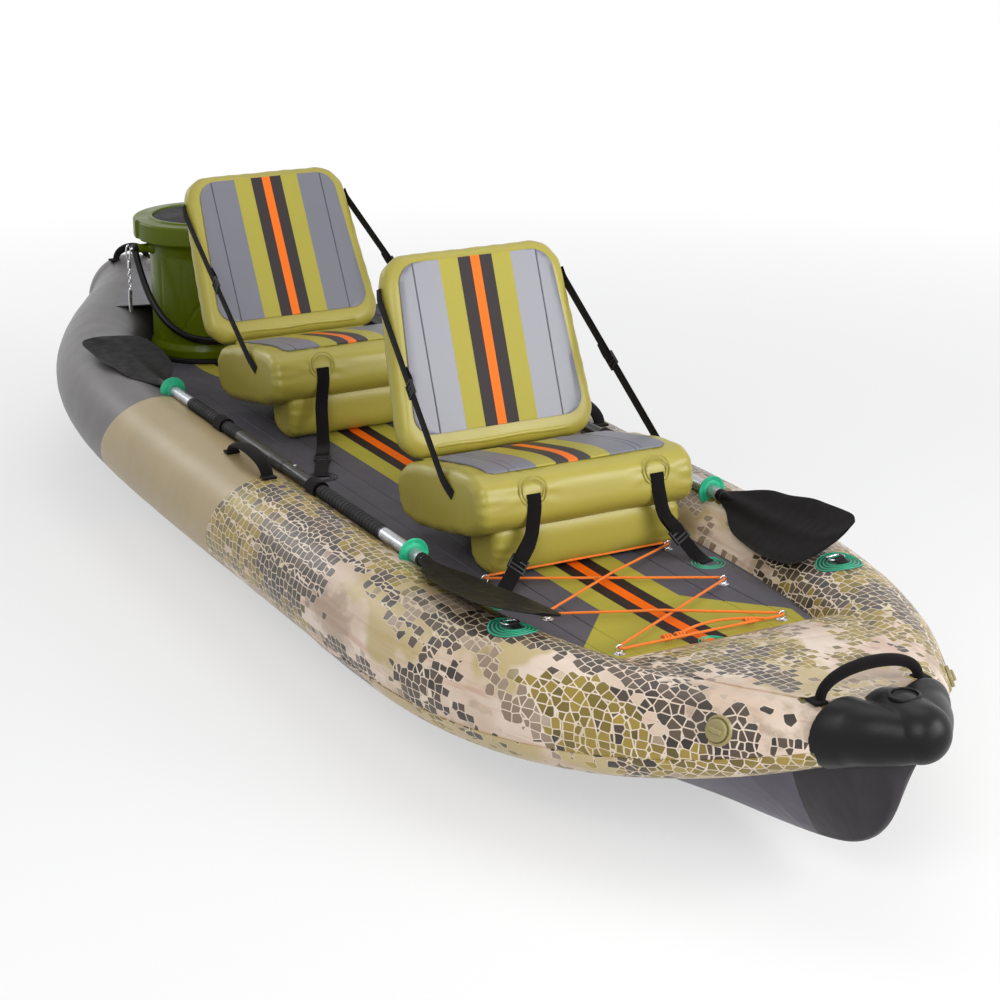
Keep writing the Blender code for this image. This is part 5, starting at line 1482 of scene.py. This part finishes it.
def half_paddle(name, axis, end, ring_y):
    """Shaft, sleeve, grip, drip ring and blade of one half; end is -1 at the bow and 1 at the stern."""

    def line(distances):
        return [axis @ Vector((0, ring_y + end * d, 0)) for d in distances]

    first, last = [axis @ Vector((0, y, 0)) for y in (-0.0998, ring_y - end * 0.125)]
    shaft = [first.lerp(last, k / 60) for k in range(61)]
    rod(name + "_shaft", shaft, 0.0137, "shaft", sides=32, stands_for=[name.replace("_", "_paddle_")])
    rod(name + "_sleeve", line((-0.13, -0.12, -0.06, 0.0, 0.052)), [0.0130, 0.0131, 0.0131, 0.0131, 0.0126],
        "silver", sides=32)
    sizes = []
    for k in range(161):
        swell = 0.5 + 0.5 * cos(k * pi / 4)
        sizes.append(0.0139 + 0.0014 * swell * min(1.0, k / 3, (160 - k) / 3))
    rod(name + "_grip", line(spread(-0.415, -0.130, 160)), sizes, "rubber", sides=32)
    cup = [(0.0128, -0.012), (0.018, -0.012), (0.019, -0.002), (0.0305, 0.0015), (0.031, 0.004),
           (0.0300, 0.0062), (0.0215, 0.0035), (0.0180, 0.0061), (0.0128, 0.0061)]
    turned(name + "_drip_ring", cup, axis @ move(0, ring_y, 0) @ tilt(-end * 90, "X"), "teal", sides=64,
           bevel=0.0012, closed=True)
    rod(name + "_neck", line((0.036, 0.045, 0.060, 0.085, 0.105)), [0.0133, 0.0133, 0.0118, 0.0085, 0.0035],
        "blade", sides=28)
    blade(name + "_leaf", axis @ move(0, ring_y + end * 0.045, 0), end, ROLLS[name], LONG_SIDES[name])


LOOP_SECTION = ((-0.5, 0.0), (-0.47, 1.0), (0, 1.1), (0.47, 1.0), (0.5, 0.0), (0.47, -1.0), (0, -1.0),
                (-0.47, -1.0))


def paddle(name, side):
    """Both halves of a paddle on a side tube, the joint between them and the loops that hold it."""
    shift = PADDLE_SHIFTS[name]
    axis = move(side * (half_breadth(0.0) - PADDLE_X[name]), shift, TUBE_Z + TUBE_R + PADDLE_LIFT[name])
    half_paddle(name + "_front", axis, -1, -0.735)
    half_paddle(name + "_rear", axis, 1, 0.535)
    joint = [axis @ Vector((0, y, 0)) for y in spread(-0.135, -0.065, 8)]
    rod(name + "_shaft_joint", joint, [0.0142] + [0.0152] * 7 + [0.0142], "buckle", sides=32)
    button = [(0, 0), (0.0035, 0), (0.0035, 0.0022), (0.0024, 0.0034), (0, 0.0036)]
    turned(name + "_snap_button", button, axis @ move(-side * 0.004, -0.17 - shift, 0.0125), "steel",
           sides=24)
    for i, y in enumerate((-0.29, 0.22)):
        rings = []
        for turn in spread(-38, 218, 48):
            ring = []
            for u, d in LOOP_SECTION:
                r = 0.0175 + 0.0018 * d
                ring.append(axis @ Vector((r * cosd(turn), y + u * 0.042 - shift, r * sind(turn))))
            rings.append(ring)
        skin(f"{name}_paddle_loop_{i + 1}", rings, "web", stands_for=[f"{name}_paddle_holder_{i + 1}"])


for paddle_name, paddle_side in SIDES.items():
    paddle(paddle_name, paddle_side)


# Studio

LAMPS = (
    ("key", (-3.2, -4.2, 3.4), (0, -0.3, 0.2), (3.0, 3.0), 135),
    ("front", (2.4, -5.9, 2.6), (0, -0.4, 0.4), (5.6, 3.6), 155),
    ("top", (0.5, 0.2, 4.8), (0, 0, 0.2), (4.5, 3.0), 60),
    ("rim", (-2.6, 4.4, 2.8), (-0.3, -0.3, 0.3), (2.6, 1.6), 50),
    ("window", (1.85, -3.7, 2.0), (0, -0.42, 0.62), (1.7, 1.5), 56),
)
FLOOR_HALF = 30.0
CAMERA_AT = (-2.1865, -4.5142, 1.8694)
CAMERA_TURN = 0.49337
CAMERA_DOWN = 0.32567


def white_world(scene):
    """A world that is white to the camera, to reflections and through glass, and gives a dim light."""
    world = bpy.data.worlds.new("studio")
    scene.world = world
    world.use_nodes = True
    tree = world.node_tree
    tree.nodes.clear()
    path = node(tree, "LightPath")
    seen = math_node("MAXIMUM", path.outputs["Is Camera Ray"], path.outputs["Is Transmission Ray"])
    seen = math_node("MAXIMUM", seen, path.outputs["Is Glossy Ray"])
    dim = node(tree, "Background", {"Color": (0.95, 0.97, 1.0, 1.0), "Strength": 0.22})
    white = node(tree, "Background", {"Color": (1.0, 1.0, 1.0, 1.0), "Strength": 1.0})
    both = node(tree, "MixShader", {0: seen, 1: dim.outputs[0], 2: white.outputs[0]})
    node(tree, "OutputWorld", {0: both.outputs[0]})


def white_floor(scene):
    """A floor that takes the shadow near the boat and fades to white away from it."""
    mesh = bpy.data.meshes.new("studio_floor")
    corners = [(x * FLOOR_HALF, y * FLOOR_HALF, -0.0005) for x, y in ((-1, -1), (1, -1), (1, 1), (-1, 1))]
    mesh.from_pydata(corners, [], [(0, 1, 2, 3)])
    ground = bpy.data.objects.new("studio_floor", mesh)
    scene.collection.objects.link(ground)
    paint = bpy.data.materials.new("studio_floor")
    paint.use_nodes = True
    tree = paint.node_tree
    tree.nodes.clear()
    path = node(tree, "LightPath")
    matte = node(tree, "BsdfDiffuse", {"Color": (0.9, 0.9, 0.9, 1.0)})
    glow = node(tree, "Emission", {"Color": (1.0, 1.0, 1.0, 1.0), "Strength": 1.0})
    axes = axes_of(node(tree, "TexCoord").outputs["Object"])
    far = math_node("SQRT", plus(times(axes[0], axes[0]), times(axes[1], axes[1])))
    seen = math_node("MAXIMUM", path.outputs["Is Camera Ray"], path.outputs["Is Glossy Ray"])
    part = times(seen, rescale(far, 1.2, 4.2, 0.55, 1.0))
    both = node(tree, "MixShader", {0: part, 1: matte.outputs[0], 2: glow.outputs[0]})
    node(tree, "OutputMaterial", {0: both.outputs[0]})
    mesh.materials.append(paint)


def studio():
    scene = bpy.context.scene
    white_world(scene)
    white_floor(scene)
    for name, place, aim, size, power in LAMPS:
        data = bpy.data.lights.new(name, "AREA")
        data.shape = "RECTANGLE"
        data.size, data.size_y = size
        data.energy = power
        obj = bpy.data.objects.new(name, data)
        obj.location = place
        obj.rotation_euler = (Vector(aim) - Vector(place)).to_track_quat("-Z", "Y").to_euler()
        scene.collection.objects.link(obj)
    data = bpy.data.cameras.new("camera")
    data.sensor_width = 36.0
    data.sensor_fit = "HORIZONTAL"
    data.lens = 84.845
    data.clip_end = 100.0
    camera = bpy.data.objects.new("camera", data)
    level = cos(CAMERA_DOWN)
    ahead = Vector((sin(CAMERA_TURN) * level, cos(CAMERA_TURN) * level, -sin(CAMERA_DOWN)))
    right = Vector((cos(CAMERA_TURN), -sin(CAMERA_TURN), 0.0))
    up = right.cross(ahead)
    camera.matrix_world = move(*CAMERA_AT) @ Matrix((right, up, -ahead)).transposed().to_4x4()
    scene.collection.objects.link(camera)
    scene.camera = camera
    scene.view_settings.view_transform = "Standard"


studio()
